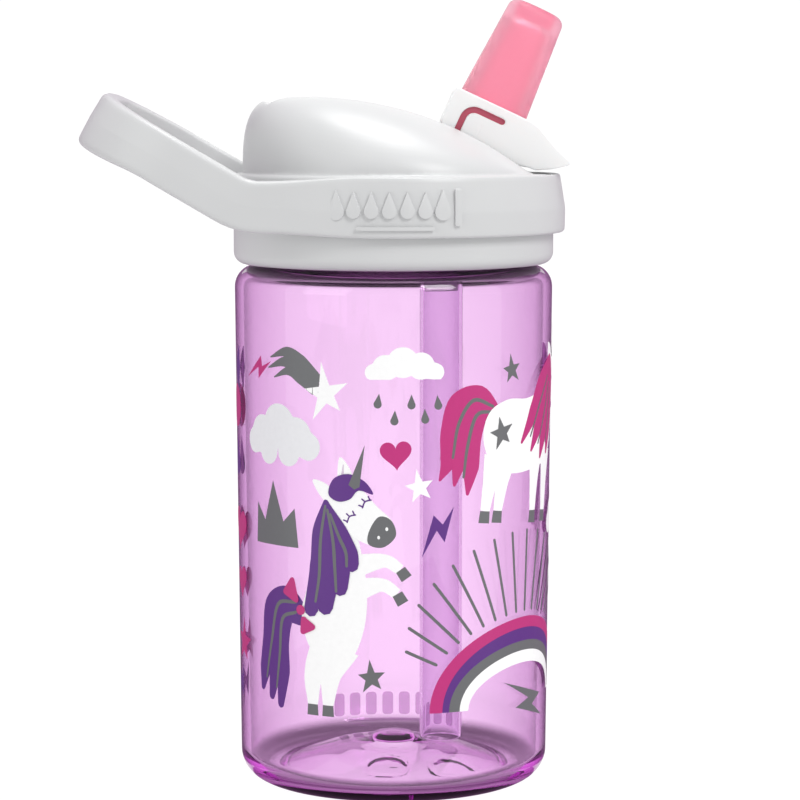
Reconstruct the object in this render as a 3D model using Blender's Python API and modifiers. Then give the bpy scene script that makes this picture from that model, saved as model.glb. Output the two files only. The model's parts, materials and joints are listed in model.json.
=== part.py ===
"""Kids water bottle with a screw cap, a carry loop and a flip-up bite spout.

Standalone Blender 4.5 script, in metres with +Z up. The bottle stands on Z = 0, the spout
points to +X and the carry loop to -X. The origin is the middle of the footprint's box, so
the bottle's own axis stands at X = AXIS_X. Lengths below are in millimetres times MM, and
X, Y positions named "off axis" are measured from the bottle's axis.
"""

import math

import bmesh
import bpy
from mathutils import Matrix, Vector

MM = 0.001
GAP = 0.3 * MM  # the least gap between two pieces
PAST = 1.0 * MM  # how far a cutter runs past the face it opens

# Driving dimensions -------------------------------------------------------------------
SHOULDER_R = 36.65 * MM  # outer radius of the bottle just under its shoulder
FOOT_R = 35.65 * MM  # outer radius just above the base fillet
SHOULDER_Z = 119.4 * MM  # top of the bottle's shoulder
WALL = 2.0 * MM
NECK_TOP_Z = 134.0 * MM
NECK_IN_R = 27.4 * MM
NECK_OUT_R = 29.6 * MM
THREAD_H = 1.3 * MM  # thread height on the neck and in the collar
THREAD_LEAD = 8.0 * MM  # rise in one turn of the two-start thread
THREAD_STARTS = 2
COLLAR_R = 36.85 * MM  # outer radius of collar and cover
DECK_Z = 140.4 * MM  # top of the cover's flat deck
DOME_TOP_Z = 157.9 * MM
BAND_R = 39.45 * MM
BAND_LOW_Z = 127.0 * MM
BAND_TOP_Z = 140.4 * MM
LOOP_REACH = 71.0 * MM  # how far the carry loop reaches from the bottle's axis
LOOP_TILT = math.radians(30.0)
LEVER_REACH = 40.2 * MM  # how far the spout's lever reaches from the bottle's axis
SPOUT_TILT = math.radians(25.0)  # the open spout leans this far forward
PIVOT_X = 16.2 * MM  # off axis
PIVOT_Z = 141.4 * MM
BARREL_R = 7.2 * MM
SPOUT_HALF_W = 11.0 * MM
CHANNEL_HALF_W = 11.4 * MM
CLOSED_RISE = math.radians(12.0)  # the closed spout's axis rises this much to the rear
STRAW_X = 11.05 * MM  # off axis
STRAW_R = 4.95 * MM
STRAW_BORE_R = 4.2 * MM
STRAW_LOW_Z = 8.3 * MM

AXIS_X = (LOOP_REACH - LEVER_REACH) / 2
AXIS = Vector((AXIS_X, 0, 0))
PIVOT = AXIS + Vector((PIVOT_X, 0, PIVOT_Z))

ROUND_STEPS = 48
SMALL_STEPS = 24

WHITE = (0.86, 0.87, 0.88)
MATERIALS = {  # name: colour, roughness, transmission
    "tinted_copolyester": ((0.86, 0.55, 0.88), 0.06, 0.9),
    "white_polypropylene": (WHITE, 0.38, 0.0),
    "white_gloss_polypropylene": ((0.93, 0.93, 0.93), 0.25, 0.0),
    "clear_straw": ((0.88, 0.80, 0.90), 0.25, 0.6),
    "pink_silicone": ((0.95, 0.36, 0.45), 0.35, 0.3),
    "clear_silicone": ((0.85, 0.85, 0.84), 0.45, 0.3),
}


# Scene helpers ------------------------------------------------------------------------
def clear_scene():
    for obj in list(bpy.data.objects):
        bpy.data.objects.remove(obj)


def new_collection(name):
    collection = bpy.data.collections.new(name)
    bpy.context.scene.collection.children.link(collection)
    return collection


def make_materials():
    for name, (colour, roughness, transmission) in MATERIALS.items():
        material = bpy.data.materials.new(name)
        material.use_nodes = True
        shader = material.node_tree.nodes["Principled BSDF"]
        shader.inputs["Base Color"].default_value = (*colour, 1.0)
        shader.inputs["Roughness"].default_value = roughness
        shader.inputs["Metallic"].default_value = 0.0
        shader.inputs["Transmission Weight"].default_value = transmission


def add_object(name, mesh, collection, material=None):
    obj = bpy.data.objects.new(name, mesh)
    collection.objects.link(obj)
    if material:
        mesh.materials.append(bpy.data.materials[material])
    return obj


def from_bmesh(name, bm, collection, material=None):
    bmesh.ops.recalc_face_normals(bm, faces=bm.faces)
    mesh = bpy.data.meshes.new(name)
    bm.to_mesh(mesh)
    bm.free()
    mesh.shade_smooth()
    mesh.set_sharp_from_angle(angle=math.radians(35))
    return add_object(name, mesh, collection, material)


def helper(obj):
    """Marks a cutter or a joined shape, which is not a part of its own."""
    obj.hide_render = True
    obj.display_type = "WIRE"
    return obj


def boolean(obj, other, operation):
    modifier = obj.modifiers.new(other.name, "BOOLEAN")
    modifier.operation = operation
    modifier.object = other
    modifier.solver = "EXACT"


def cut(obj, *others):
    for other in others:
        boolean(obj, helper(other), "DIFFERENCE")


def join(obj, *others):
    for other in others:
        boolean(obj, helper(other), "UNION")


# Shape helpers ------------------------------------------------------------------------
def arc(centre_r, centre_z, radius, start_deg, end_deg, count):
    """Points of an arc in a profile, with angles from +R towards +Z."""
    points = []
    for i in range(count + 1):
        angle = math.radians(start_deg + (end_deg - start_deg) * i / count)
        points.append((centre_r + radius * math.cos(angle), centre_z + radius * math.sin(angle)))
    return points


def turned(name, profile, collection, material=None, closed=False, steps=ROUND_STEPS, x=AXIS_X):
    """A profile of (radius, height) points turned about the vertical line through x, Y = 0."""
    bm = bmesh.new()
    verts = [bm.verts.new((r, 0, z)) for r, z in profile]
    for a, b in zip(verts, verts[1:]):
        bm.edges.new((a, b))
    if closed:
        bm.edges.new((verts[-1], verts[0]))
    mesh = bpy.data.meshes.new(name)
    bm.to_mesh(mesh)
    bm.free()
    obj = add_object(name, mesh, collection, material)
    obj.location = (x, 0, 0)
    screw = obj.modifiers.new("turn", "SCREW")
    screw.axis = "Z"
    screw.steps = steps
    screw.render_steps = steps
    screw.use_merge_vertices = True
    screw.merge_threshold = 0.00001
    return obj


def cylinder(name, radius, start, end, collection, steps=SMALL_STEPS):
    """A cylinder from one point to another, in world space."""
    start, end = Vector(start), Vector(end)
    bm = bmesh.new()
    bmesh.ops.create_cone(
        bm,
        cap_ends=True,
        segments=steps,
        radius1=radius,
        radius2=radius,
        depth=(end - start).length,
    )
    obj = from_bmesh(name, bm, collection)
    turn = (end - start).to_track_quat("Z", "Y").to_matrix().to_4x4()
    obj.matrix_world = Matrix.Translation((start + end) / 2) @ turn
    return obj


def prism(name, outline, half_width, collection):
    """An outline of (x, z) points in the world, thickened along Y to +-half_width."""
    bm = bmesh.new()
    near = [bm.verts.new((x, -half_width, z)) for x, z in outline]
    face = bm.faces.new(near)
    made = bmesh.ops.extrude_face_region(bm, geom=[face])
    moved = [v for v in made["geom"] if isinstance(v, bmesh.types.BMVert)]
    bmesh.ops.translate(bm, verts=moved, vec=(0, 2 * half_width, 0))
    return from_bmesh(name, bm, collection)


def loft(name, rings, collection, material=None, looped=False):
    """Skins rings of points, each with the same count, into one closed surface."""
    bm = bmesh.new()
    rows = [[bm.verts.new(p) for p in ring] for ring in rings]
    pairs = list(zip(rows, rows[1:]))
    if looped:
        pairs.append((rows[-1], rows[0]))
    for low, high in pairs:
        for i in range(len(low)):
            j = (i + 1) % len(low)
            bm.faces.new((low[i], low[j], high[j], high[i]))
    if not looped:
        bm.faces.new(rows[0])
        bm.faces.new(rows[-1])
    return from_bmesh(name, bm, collection, material)


def superellipse(half_a, half_b, power, count):
    """Points of a rounded outline, (a, b), evenly spread in angle."""
    points = []
    for i in range(count):
        angle = 2 * math.pi * i / count
        c, s = math.cos(angle), math.sin(angle)
        points.append(
            (
                half_a * math.copysign(abs(c) ** (2 / power), c),
                half_b * math.copysign(abs(s) ** (2 / power), s),
            )
        )
    return points


def helical_ridge(name, root_r, crest_r, start_z, start_deg, collection):
    """One thread ridge that fades out at both ends, rising with the angle."""
    sweep, steps, fade = 225.0, 30, 3
    root_half, crest_half = 0.85 * MM, 0.4 * MM
    rings = []
    for i in range(steps + 1):
        turn = sweep * i / steps
        angle = math.radians(start_deg + turn)
        z = start_z + THREAD_LEAD * turn / 360.0
        grown = min(1.0, (i + 0.1) / fade, (steps - i + 0.1) / fade)
        top_r = root_r + (crest_r - root_r) * grown
        outline = ((root_r, -root_half), (top_r, -crest_half), (top_r, crest_half), (root_r, root_half))
        rings.append(
            [(AXIS_X + r * math.cos(angle), r * math.sin(angle), z + dz) for r, dz in outline]
        )
    return loft(name, rings, collection)


# Bottle -------------------------------------------------------------------------------
FOOT_FILLET = 6.2 * MM
SHOULDER_FILLET = 5.0 * MM
BASE_Z = 3.0 * MM  # the inside floor round the punt
PUNT_INSIDE = ((0, 9.6), (4.3, 9.6), (6.3, 7.7), (14.0, 6.6), (21.0, 4.6))  # radius, height, mm
PUNT_OUTSIDE = ((26.4, 0), (25.2, 0.7), (20.5, 2.3), (13.5, 4.3), (5.6, 5.5), (3.9, 7.4), (0, 7.4))
PUNT_R = 25.5 * MM
NECK_EDGE = 0.4 * MM
NECK_ROOT = 0.6 * MM
THREAD_SINK = 0.4 * MM  # how deep a ridge's root sits in its wall
THREAD_SLACK = 0.35 * MM  # between the collar's crests and the neck's wall
THREAD_LOW_Z = 124.6 * MM
THREAD_UNDER = 1.4 * MM  # the collar's ridges ride this far under the neck's


def thread(name, root_r, crest_r, low_z, obj, collection):
    for start in range(THREAD_STARTS):
        angle = 360.0 * start / THREAD_STARTS
        ridge = helical_ridge(f"{name}_{start}", root_r, crest_r, low_z, angle, collection)
        join(obj, ridge)


def bottle_body(parts, cutters):
    """Blow-moulded body: raised punt, drafted wall, rounded shoulder and threaded neck."""
    foot_r = FOOT_R - FOOT_FILLET
    inner_fillet = FOOT_FILLET - WALL
    crown_r, crown_z = SHOULDER_R - SHOULDER_FILLET, SHOULDER_Z - SHOULDER_FILLET
    profile = [(r * MM, z * MM) for r, z in PUNT_INSIDE]
    profile += [(PUNT_R, BASE_Z)]
    profile += arc(foot_r, BASE_Z + inner_fillet, inner_fillet, -90, 0, 5)
    profile += arc(crown_r, crown_z, SHOULDER_FILLET - WALL, 0, 90, 4)
    profile += [
        (NECK_IN_R + 2 * NECK_ROOT, SHOULDER_Z - WALL),
        (NECK_IN_R, SHOULDER_Z - NECK_ROOT),
        (NECK_IN_R, NECK_TOP_Z - NECK_EDGE),
        (NECK_IN_R + NECK_EDGE, NECK_TOP_Z),
        (NECK_OUT_R - NECK_EDGE, NECK_TOP_Z),
        (NECK_OUT_R, NECK_TOP_Z - NECK_EDGE),
        (NECK_OUT_R, SHOULDER_Z + NECK_ROOT),
        (NECK_OUT_R + NECK_ROOT, SHOULDER_Z),
    ]
    profile += arc(crown_r, crown_z, SHOULDER_FILLET, 90, 0, 6)
    profile += arc(foot_r, FOOT_FILLET, FOOT_FILLET, 0, -90, 7)
    profile += [(r * MM, z * MM) for r, z in PUNT_OUTSIDE]
    body = turned("bottle_body", profile, parts, "tinted_copolyester")
    crest_r = NECK_OUT_R + THREAD_H
    thread("neck_thread", NECK_OUT_R - THREAD_SINK, crest_r, THREAD_LOW_Z, body, cutters)
    return body


# Threaded collar: the cap's inner moulding --------------------------------------------
COLLAR_LOW_Z = SHOULDER_Z + GAP
COLLAR_FILLET = 4.0 * MM
COLLAR_IN_R = NECK_OUT_R + THREAD_H + 0.4 * MM
COLLAR_STEP_Z = 128.4 * MM  # the wide lower ring ends here, behind the handle's band
COLLAR_SPIGOT_R = 34.2 * MM
COLLAR_DECK_Z = 138.0 * MM
GASKET_H = 1.3 * MM
PLUG_OUT_R = 26.9 * MM
PLUG_IN_R = 25.7 * MM
PAN_TOP_Z = 131.0 * MM
PAN_LOW_Z = 129.0 * MM
PORT_BLOCK_LOW_Z = 125.0 * MM
PORT_BLOCK_R = 5.6 * MM
PORT_BOSS_R = 6.9 * MM
PORT_BOSS_TOP_Z = 132.6 * MM
SEAL_POCKET_R = 5.5 * MM
SEAL_POCKET_Z = 131.2 * MM
SEAL_R = 5.2 * MM
SEAL_BORE_R = 3.0 * MM
PORT_BORE_R = 2.6 * MM
NIPPLE_R = 3.9 * MM
NIPPLE_LOW_Z = 114.0 * MM
NIPPLE_BORE_R = 2.7 * MM
NIPPLE_BORE_TOP_Z = 128.0 * MM
PASSAGE_R = 2.4 * MM
PASSAGE_REAR_Z, PASSAGE_FRONT_Z = 127.4 * MM, 129.6 * MM
SEAL_TOP_Z = 134.4 * MM
VENT_X = -12.0 * MM  # off axis
VENT_STEM_R = 1.3 * MM
VENT_DISC_R = 4.6 * MM
VENT_BULB_R = 2.1 * MM
VENT_HOLES = 4
VENT_HOLE_R = 0.7 * MM
VENT_RING_R = 3.0 * MM  # the vent holes lie on this circle


def threaded_collar(parts, cutters):
    """Threaded ring, seal land over the neck's rim, plug wall, pan and straw nipple."""
    land_z = NECK_TOP_Z + 2 * GAP + GASKET_H
    profile = [(0, PAN_TOP_Z), (PLUG_IN_R, PAN_TOP_Z), (PLUG_IN_R, COLLAR_DECK_Z)]
    profile += [(COLLAR_SPIGOT_R, COLLAR_DECK_Z), (COLLAR_SPIGOT_R, COLLAR_STEP_Z)]
    profile += [(COLLAR_R, COLLAR_STEP_Z)]
    profile += arc(
        COLLAR_R - COLLAR_FILLET, COLLAR_LOW_Z + COLLAR_FILLET, COLLAR_FILLET, 0, -90, 6
    )
    profile += [
        (COLLAR_IN_R, COLLAR_LOW_Z),
        (COLLAR_IN_R, land_z),
        (PLUG_OUT_R, land_z),
        (PLUG_OUT_R, PAN_LOW_Z),
        (0, PAN_LOW_Z),
    ]
    collar = turned("threaded_collar", profile, parts, "white_polypropylene")
    thread(
        "collar_thread",
        COLLAR_IN_R + THREAD_SINK,
        NECK_OUT_R + THREAD_SLACK,
        THREAD_LOW_Z - THREAD_UNDER,
        collar,
        cutters,
    )

    def post(name, radius, x, low_z, high_z):
        start, end = AXIS + Vector((x, 0, low_z)), AXIS + Vector((x, 0, high_z))
        return cylinder(name, radius, start, end, cutters)

    # The block under the pan joins the straw's nipple to the port under the spout's barrel.
    mid_z = (PAN_LOW_Z + PAN_TOP_Z) / 2
    join(
        collar,
        post("port_block_rear", PORT_BLOCK_R, STRAW_X, PORT_BLOCK_LOW_Z, mid_z),
        post("port_block_front", PORT_BLOCK_R, PIVOT_X, PORT_BLOCK_LOW_Z, mid_z),
        post("port_boss", PORT_BOSS_R, PIVOT_X, mid_z, PORT_BOSS_TOP_Z),
        post("straw_nipple", NIPPLE_R, STRAW_X, NIPPLE_LOW_Z, PORT_BLOCK_LOW_Z + PAST),
    )
    low = AXIS + Vector((STRAW_X, 0, PASSAGE_REAR_Z))
    high = AXIS + Vector((PIVOT_X, 0, PASSAGE_FRONT_Z))
    cut(
        collar,
        post("seal_pocket", SEAL_POCKET_R, PIVOT_X, SEAL_POCKET_Z, PORT_BOSS_TOP_Z + PAST),
        post("port_bore", PORT_BORE_R, PIVOT_X, PAN_LOW_Z, SEAL_POCKET_Z + PAST),
        post("nipple_bore", NIPPLE_BORE_R, STRAW_X, NIPPLE_LOW_Z - PAST, NIPPLE_BORE_TOP_Z),
        cylinder("port_passage", PASSAGE_R, low, high, cutters),
        post("vent_stem_hole", VENT_STEM_R + GAP, VENT_X, PAN_LOW_Z - PAST, PAN_TOP_Z + PAST),
    )
    for i in range(VENT_HOLES):
        angle = 2 * math.pi * (i + 0.5) / VENT_HOLES
        x, y = VENT_X + VENT_RING_R * math.cos(angle), VENT_RING_R * math.sin(angle)
        start = AXIS + Vector((x, y, PAN_LOW_Z - PAST))
        end = AXIS + Vector((x, y, PAN_TOP_Z + PAST))
        cut(collar, cylinder(f"vent_hole_{i}", VENT_HOLE_R, start, end, cutters, steps=10))
    return collar


def cap_gasket(parts):
    """Flat silicone ring between the neck's rim and the collar."""
    low, high = NECK_TOP_Z + GAP, NECK_TOP_Z + GAP + GASKET_H
    inner, outer, soft = PLUG_OUT_R + GAP, NECK_OUT_R + 0.9 * MM, 0.35 * MM
    profile = [
        (inner, high - soft),
        (inner + soft, high),
        (outer - soft, high),
        (outer, high - soft),
        (outer, low + soft),
        (outer - soft, low),
        (inner + soft, low),
        (inner, low + soft),
    ]
    return turned("cap_gasket", profile, parts, "clear_silicone", closed=True)


def vent_valve(parts):
    """Silicone umbrella valve: a disc under the pan, held by a stem with a bulb on top."""
    disc_top = PAN_LOW_Z - GAP
    bulb_low = PAN_TOP_Z + GAP
    profile = [
        (0, bulb_low + 1.7 * MM),
        (0.9 * MM, bulb_low + 1.5 * MM),
        (VENT_BULB_R, bulb_low + 0.5 * MM),
        (VENT_BULB_R, bulb_low),
        (VENT_STEM_R, bulb_low),
        (VENT_STEM_R, disc_top),
        (VENT_DISC_R, disc_top),
        (VENT_DISC_R, disc_top - 0.5 * MM),
        (VENT_STEM_R + 0.1 * MM, disc_top - 1.2 * MM),
        (0, disc_top - 1.3 * MM),
    ]
    x = AXIS_X + VENT_X
    return turned("vent_valve", profile, parts, "clear_silicone", steps=SMALL_STEPS, x=x)


def port_seal(parts, cutters):
    """Silicone ring that the spout's barrel turns on, hollowed to the barrel's curve."""
    low, high = SEAL_POCKET_Z + GAP, SEAL_TOP_Z
    profile = [(SEAL_BORE_R, high), (SEAL_R, high), (SEAL_R, low), (SEAL_BORE_R, low)]
    x = AXIS_X + PIVOT_X
    seal = turned(
        "port_seal", profile, parts, "clear_silicone", closed=True, steps=SMALL_STEPS, x=x
    )
    reach = Vector((0, 15 * MM, 0))
    cut(seal, cylinder("seal_saddle", BARREL_R + GAP, PIVOT - reach, PIVOT + reach, cutters, 48))
    return seal


def straw(parts):
    """Straight tube from just above the base to the collar's nipple."""
    top = PORT_BLOCK_LOW_Z - GAP
    profile = [
        (STRAW_BORE_R, top),
        (STRAW_R, top),
        (STRAW_R, STRAW_LOW_Z),
        (STRAW_BORE_R, STRAW_LOW_Z),
    ]
    x = AXIS_X + STRAW_X
    return turned("straw", profile, parts, "clear_straw", closed=True, steps=32, x=x)


# Cap cover: deck, dome and spout channel ----------------------------------------------
DOME_R = 34.7 * MM
DOME_RIDGE_HALF_W = 13.5 * MM
DOME_RIDGE_REAR = 24.0 * MM
DOME_RIDGE_FRONT = 31.0 * MM
DOME_WALL = 2.3 * MM
DOME_ROUNDNESS = 1.75  # power of the dome's side curve at the front and sides
DOME_REAR_SQUARENESS = 1.35  # added to that power at the rear
DOME_FLAT_TO_X = -22.0  # mm off axis: the top line is level behind this
DOME_FALL, DOME_FALL_POWER = 0.002815, 2.19
COVER_EDGE = 0.8 * MM
BOSS_R = 5.4 * MM
BOSS_END_Y = 16.0 * MM
BREATHER_R = 1.2 * MM
TROUGH_WALL = 1.15 * MM
CUT_LOW_Z, CUT_HIGH_Z = 120.0 * MM, 170.0 * MM  # heights that clear the whole cap
CHANNEL_REAR_X = -28.4 * MM
WINDOW_REAR_X = 8.5 * MM
WINDOW_FRONT_X = 25.8 * MM
CHANNEL_WALL = 1.8 * MM
CHANNEL_FLOOR_UNDER_AXIS = 10.3 * MM  # square to the closed spout's axis
TRUNNION_R = 2.6 * MM
TRUNNION_END_Y = 13.7 * MM


def dome_height(x):
    """Height of the dome's top line at x off axis: flat at the rear, falling to the front."""
    forward = max(0.0, x / MM - DOME_FLAT_TO_X)
    return DOME_TOP_Z - DOME_FALL * forward**DOME_FALL_POWER * MM


def channel_floor(x):
    """Height of the channel's floor, parallel to the closed spout's axis."""
    drop = CHANNEL_FLOOR_UNDER_AXIS / math.cos(CLOSED_RISE)
    return PIVOT_Z - drop + (PIVOT_X - x) * math.tan(CLOSED_RISE)


def dome(name, shrink, low_z, collection, count=48):
    """The dome's body: rings from a round base up to a long ridge, all under dome_height."""
    rings = []
    side_levels = (0.0, 0.12, 0.27, 0.42, 0.56, 0.70, 0.83, 0.93, 1.0)
    least_rise = 0.05 * MM
    for level in side_levels:
        tau = level * math.pi / 2
        ring = []
        for i in range(count):
            phi = 2 * math.pi * i / count
            c, s = math.cos(phi), math.sin(phi)
            rearness = max(0.0, -c) ** 2
            power = DOME_ROUNDNESS + DOME_REAR_SQUARENESS * rearness
            inward = 1 - math.cos(tau) ** (2 / power)
            upward = math.sin(tau) ** (2 / power)
            base = Vector((DOME_R * c, DOME_R * s))
            ridge_x = DOME_RIDGE_FRONT if c > 0 else DOME_RIDGE_REAR
            ridge = Vector((ridge_x * c, DOME_RIDGE_HALF_W * s))
            plan = base.lerp(ridge, inward)
            plan -= plan.normalized() * shrink
            z = DECK_Z + max(least_rise, dome_height(plan.x) - shrink - DECK_Z) * upward
            ring.append((AXIS_X + plan.x, plan.y, z))
        rings.append(ring)
    bottom = [(x, y, low_z) for x, y, _ in rings[0]]
    ridge_ring = rings[-1]
    for scale in (0.6, 0.2):
        ring = []
        for x, y, _ in ridge_ring:
            off = (x - AXIS_X) * scale
            z = max(DECK_Z + least_rise, dome_height(off) - shrink)
            ring.append((AXIS_X + off, y * scale, z))
        rings.append(ring)
    return loft(name, [bottom, *rings], collection)


def cap_cover(parts, cutters):
    """Outer moulding: side wall, deck, hollow dome and the channel the spout folds into."""
    wall_low = COLLAR_STEP_Z + GAP
    wall_in_r = COLLAR_SPIGOT_R + GAP
    deck_low = COLLAR_DECK_Z + GAP
    profile = [(0, DECK_Z), (COLLAR_R - COVER_EDGE, DECK_Z)]
    profile += [(COLLAR_R, DECK_Z - COVER_EDGE), (COLLAR_R, wall_low), (wall_in_r, wall_low)]
    profile += [(wall_in_r, deck_low), (0, deck_low)]
    cover = turned("cap_cover", profile, parts, "white_polypropylene")
    join(cover, dome("dome_skin", 0.0, DECK_Z - PAST, cutters))

    # Hollow cheeks: the dome's inside, less the channel's walls and the trunnion bosses.
    hollow = dome("dome_hollow", DOME_WALL, deck_low - PAST, cutters, count=32)
    wall_half = CHANNEL_HALF_W + CHANNEL_WALL
    keep_end = DOME_R + 5 * MM
    core = prism(
        "channel_core",
        [
            (AXIS_X - keep_end, CUT_LOW_Z),
            (AXIS_X + keep_end, CUT_LOW_Z),
            (AXIS_X + keep_end, CUT_HIGH_Z),
            (AXIS_X - keep_end, CUT_HIGH_Z),
        ],
        wall_half,
        cutters,
    )
    boss_reach = Vector((0, BOSS_END_Y, 0))
    boss = cylinder("trunnion_boss", BOSS_R, PIVOT - boss_reach, PIVOT + boss_reach, cutters)
    cut(hollow, core, boss)
    cut(cover, hollow)

    # Trough under the deck that carries the channel's floor, kept inside the collar's plug.
    trough_rear = CHANNEL_REAR_X - CHANNEL_WALL
    trough_top = DECK_Z - PAST / 2
    trough = prism(
        "channel_trough",
        [
            (AXIS_X + trough_rear, trough_top),
            (AXIS_X + trough_rear, channel_floor(trough_rear) - TROUGH_WALL),
            (AXIS_X + WINDOW_REAR_X, channel_floor(WINDOW_REAR_X) - TROUGH_WALL),
            (AXIS_X + WINDOW_REAR_X, trough_top),
        ],
        wall_half,
        cutters,
    )
    clearance = [
        (PLUG_IN_R - GAP, deck_low),
        (COLLAR_R + 5 * MM, deck_low),
        (COLLAR_R + 5 * MM, CUT_LOW_Z),
        (PLUG_IN_R - GAP, CUT_LOW_Z),
    ]
    cut(trough, turned("collar_clearance", clearance, cutters, closed=True))
    join(cover, trough)
    channel = prism(
        "channel_cut",
        [
            (AXIS_X + CHANNEL_REAR_X, CUT_HIGH_Z),
            (AXIS_X + CHANNEL_REAR_X, channel_floor(CHANNEL_REAR_X)),
            (AXIS_X + WINDOW_REAR_X, channel_floor(WINDOW_REAR_X)),
            (AXIS_X + WINDOW_REAR_X, CUT_LOW_Z),
            (AXIS_X + WINDOW_FRONT_X, CUT_LOW_Z),
            (AXIS_X + WINDOW_FRONT_X, DECK_Z),
            (AXIS_X + keep_end, DECK_Z),
            (AXIS_X + keep_end, CUT_HIGH_Z),
        ],
        CHANNEL_HALF_W,
        cutters,
    )
    pin_reach = Vector((0, TRUNNION_END_Y + PAST / 2, 0))
    holes = cylinder("trunnion_holes", TRUNNION_R + GAP, PIVOT - pin_reach, PIVOT + pin_reach, cutters)
    vent = AXIS + Vector((VENT_X, 0, 0))
    breather = cylinder(
        "breather_hole",
        BREATHER_R,
        vent + Vector((0, 0, COLLAR_DECK_Z - 8 * MM)),
        vent + Vector((0, 0, DECK_Z + PAST)),
        cutters,
        steps=12,
    )
    cut(cover, channel, holes, breather)
    return cover


# Carry handle: a band round the cap that rises into a loop ----------------------------
LOOP_BEND_X = -32.9 * MM  # off axis: the loop's middle line leaves the band here
LOOP_BEND_R = 14.0 * MM
LOOP_HALF_W = 36.9 * MM  # the arms' outer faces at the bend
LOOP_END_CORNER = 27.0 * MM
BAND_THICK = 2.3 * MM
LOOP_THICK = 4.4 * MM
LOOP_LEAN = 2.7 * MM  # the end's low edge reaches this much further than its middle
LOOP_TUCK = 2.4 * MM  # how far the loop's arms draw in from the bend to the end
LEAVE_ANGLE = math.radians(104)  # where the arms leave the band, from the front
ARM_HEIGHT = 11.4 * MM
GRIP_EXTRA = 1.7 * MM  # the loop's end is this much taller than its arms
GRIP_DROP = 0.8 * MM
GRIP_START_X, GRIP_RUN = -55.0 * MM, 18.0 * MM
CROWN = 0.9 * MM  # how much the strap's outer edges fall away from its middle


def fold_point(along, y, up):
    """Places a point of the flat handle: beyond the bend, the sheet turns up by LOOP_TILT."""
    mid_z = (BAND_LOW_Z + BAND_TOP_Z) / 2
    half = LOOP_BEND_R * math.tan(LOOP_TILT / 2)
    start = LOOP_BEND_X + half
    arc_length = LOOP_BEND_R * LOOP_TILT
    past = start - along
    if past <= 0:
        x, z, tilt = along, mid_z, 0.0
    elif past < arc_length:
        tilt = past / LOOP_BEND_R
        x = start - LOOP_BEND_R * math.sin(tilt)
        z = mid_z + LOOP_BEND_R * (1 - math.cos(tilt))
    else:
        tilt = LOOP_TILT
        rest = past - arc_length
        x = start - LOOP_BEND_R * math.sin(tilt) - rest * math.cos(tilt)
        z = mid_z + LOOP_BEND_R * (1 - math.cos(tilt)) + rest * math.sin(tilt)
    return AXIS_X + x + up * math.sin(tilt), y, z + up * math.cos(tilt)


def handle_path():
    """Half of the handle's outer outline when flat: (x, y, share of the loop) from the
    front of the band round to the middle of the loop's end, with outward directions."""
    bend_half = LOOP_BEND_R * math.tan(LOOP_TILT / 2)
    bend_out = LOOP_BEND_X + bend_half - LOOP_BEND_R * math.sin(LOOP_TILT)
    straight = (LOOP_REACH - LOOP_LEAN + bend_out) / math.cos(LOOP_TILT)
    end_x = LOOP_BEND_X + bend_half - LOOP_BEND_R * LOOP_TILT - straight
    points = []
    front_steps = 18
    for i in range(front_steps + 1):
        angle = LEAVE_ANGLE * i / front_steps
        points.append((BAND_R * math.cos(angle), BAND_R * math.sin(angle), 0.0))
    corner_x = end_x + LOOP_END_CORNER
    arm_y = LOOP_HALF_W - LOOP_TUCK
    corner_y = arm_y - LOOP_END_CORNER
    arm_steps = 6
    last = points[-1]
    for i in range(1, arm_steps + 1):
        t = i / arm_steps
        x = last[0] + (corner_x - last[0]) * t
        y = last[1] + (arm_y - last[1]) * (t * (2 - t) * 0.35 + t * 0.65)
        points.append((x, y, min(1.0, t * 2.2)))
    corner_steps = 9
    for i in range(1, corner_steps + 1):
        angle = math.pi / 2 * (1 + i / corner_steps)
        points.append(
            (
                corner_x + LOOP_END_CORNER * math.cos(angle),
                corner_y + LOOP_END_CORNER * math.sin(angle),
                1.0,
            )
        )
    points.append((end_x - 0.4 * MM, 0.0, 1.0))
    return points


def carry_handle(parts):
    """A rounded strap section swept round the band and the loop."""
    half = handle_path()
    path = half + [(x, -y, share) for x, y, share in reversed(half[1:-1])]
    rings = []
    for i, (x, y, share) in enumerate(path):
        before, after = path[i - 1], path[(i + 1) % len(path)]
        along = Vector((after[0] - before[0], after[1] - before[1])).normalized()
        outward = Vector((along.y, -along.x))
        thick = BAND_THICK + (LOOP_THICK - BAND_THICK) * share
        grip = max(0.0, min(1.0, (GRIP_START_X - x) / GRIP_RUN))
        height = (BAND_TOP_Z - BAND_LOW_Z) * (1 - share) + (ARM_HEIGHT + GRIP_EXTRA * grip) * share
        up_mid = -GRIP_DROP * grip * share
        ring = []
        for u, v in superellipse(0.5, 0.5, 5.0, 16):
            crown = CROWN * (2 * v) ** 2 if u > 0 else 0.0
            inward = (0.5 - u) * thick + crown
            px, py = x - outward.x * inward, y - outward.y * inward
            ring.append(fold_point(px, py, up_mid + v * height))
        rings.append(ring)
    return loft("carry_handle", rings, parts, "white_polypropylene", looped=True)


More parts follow.
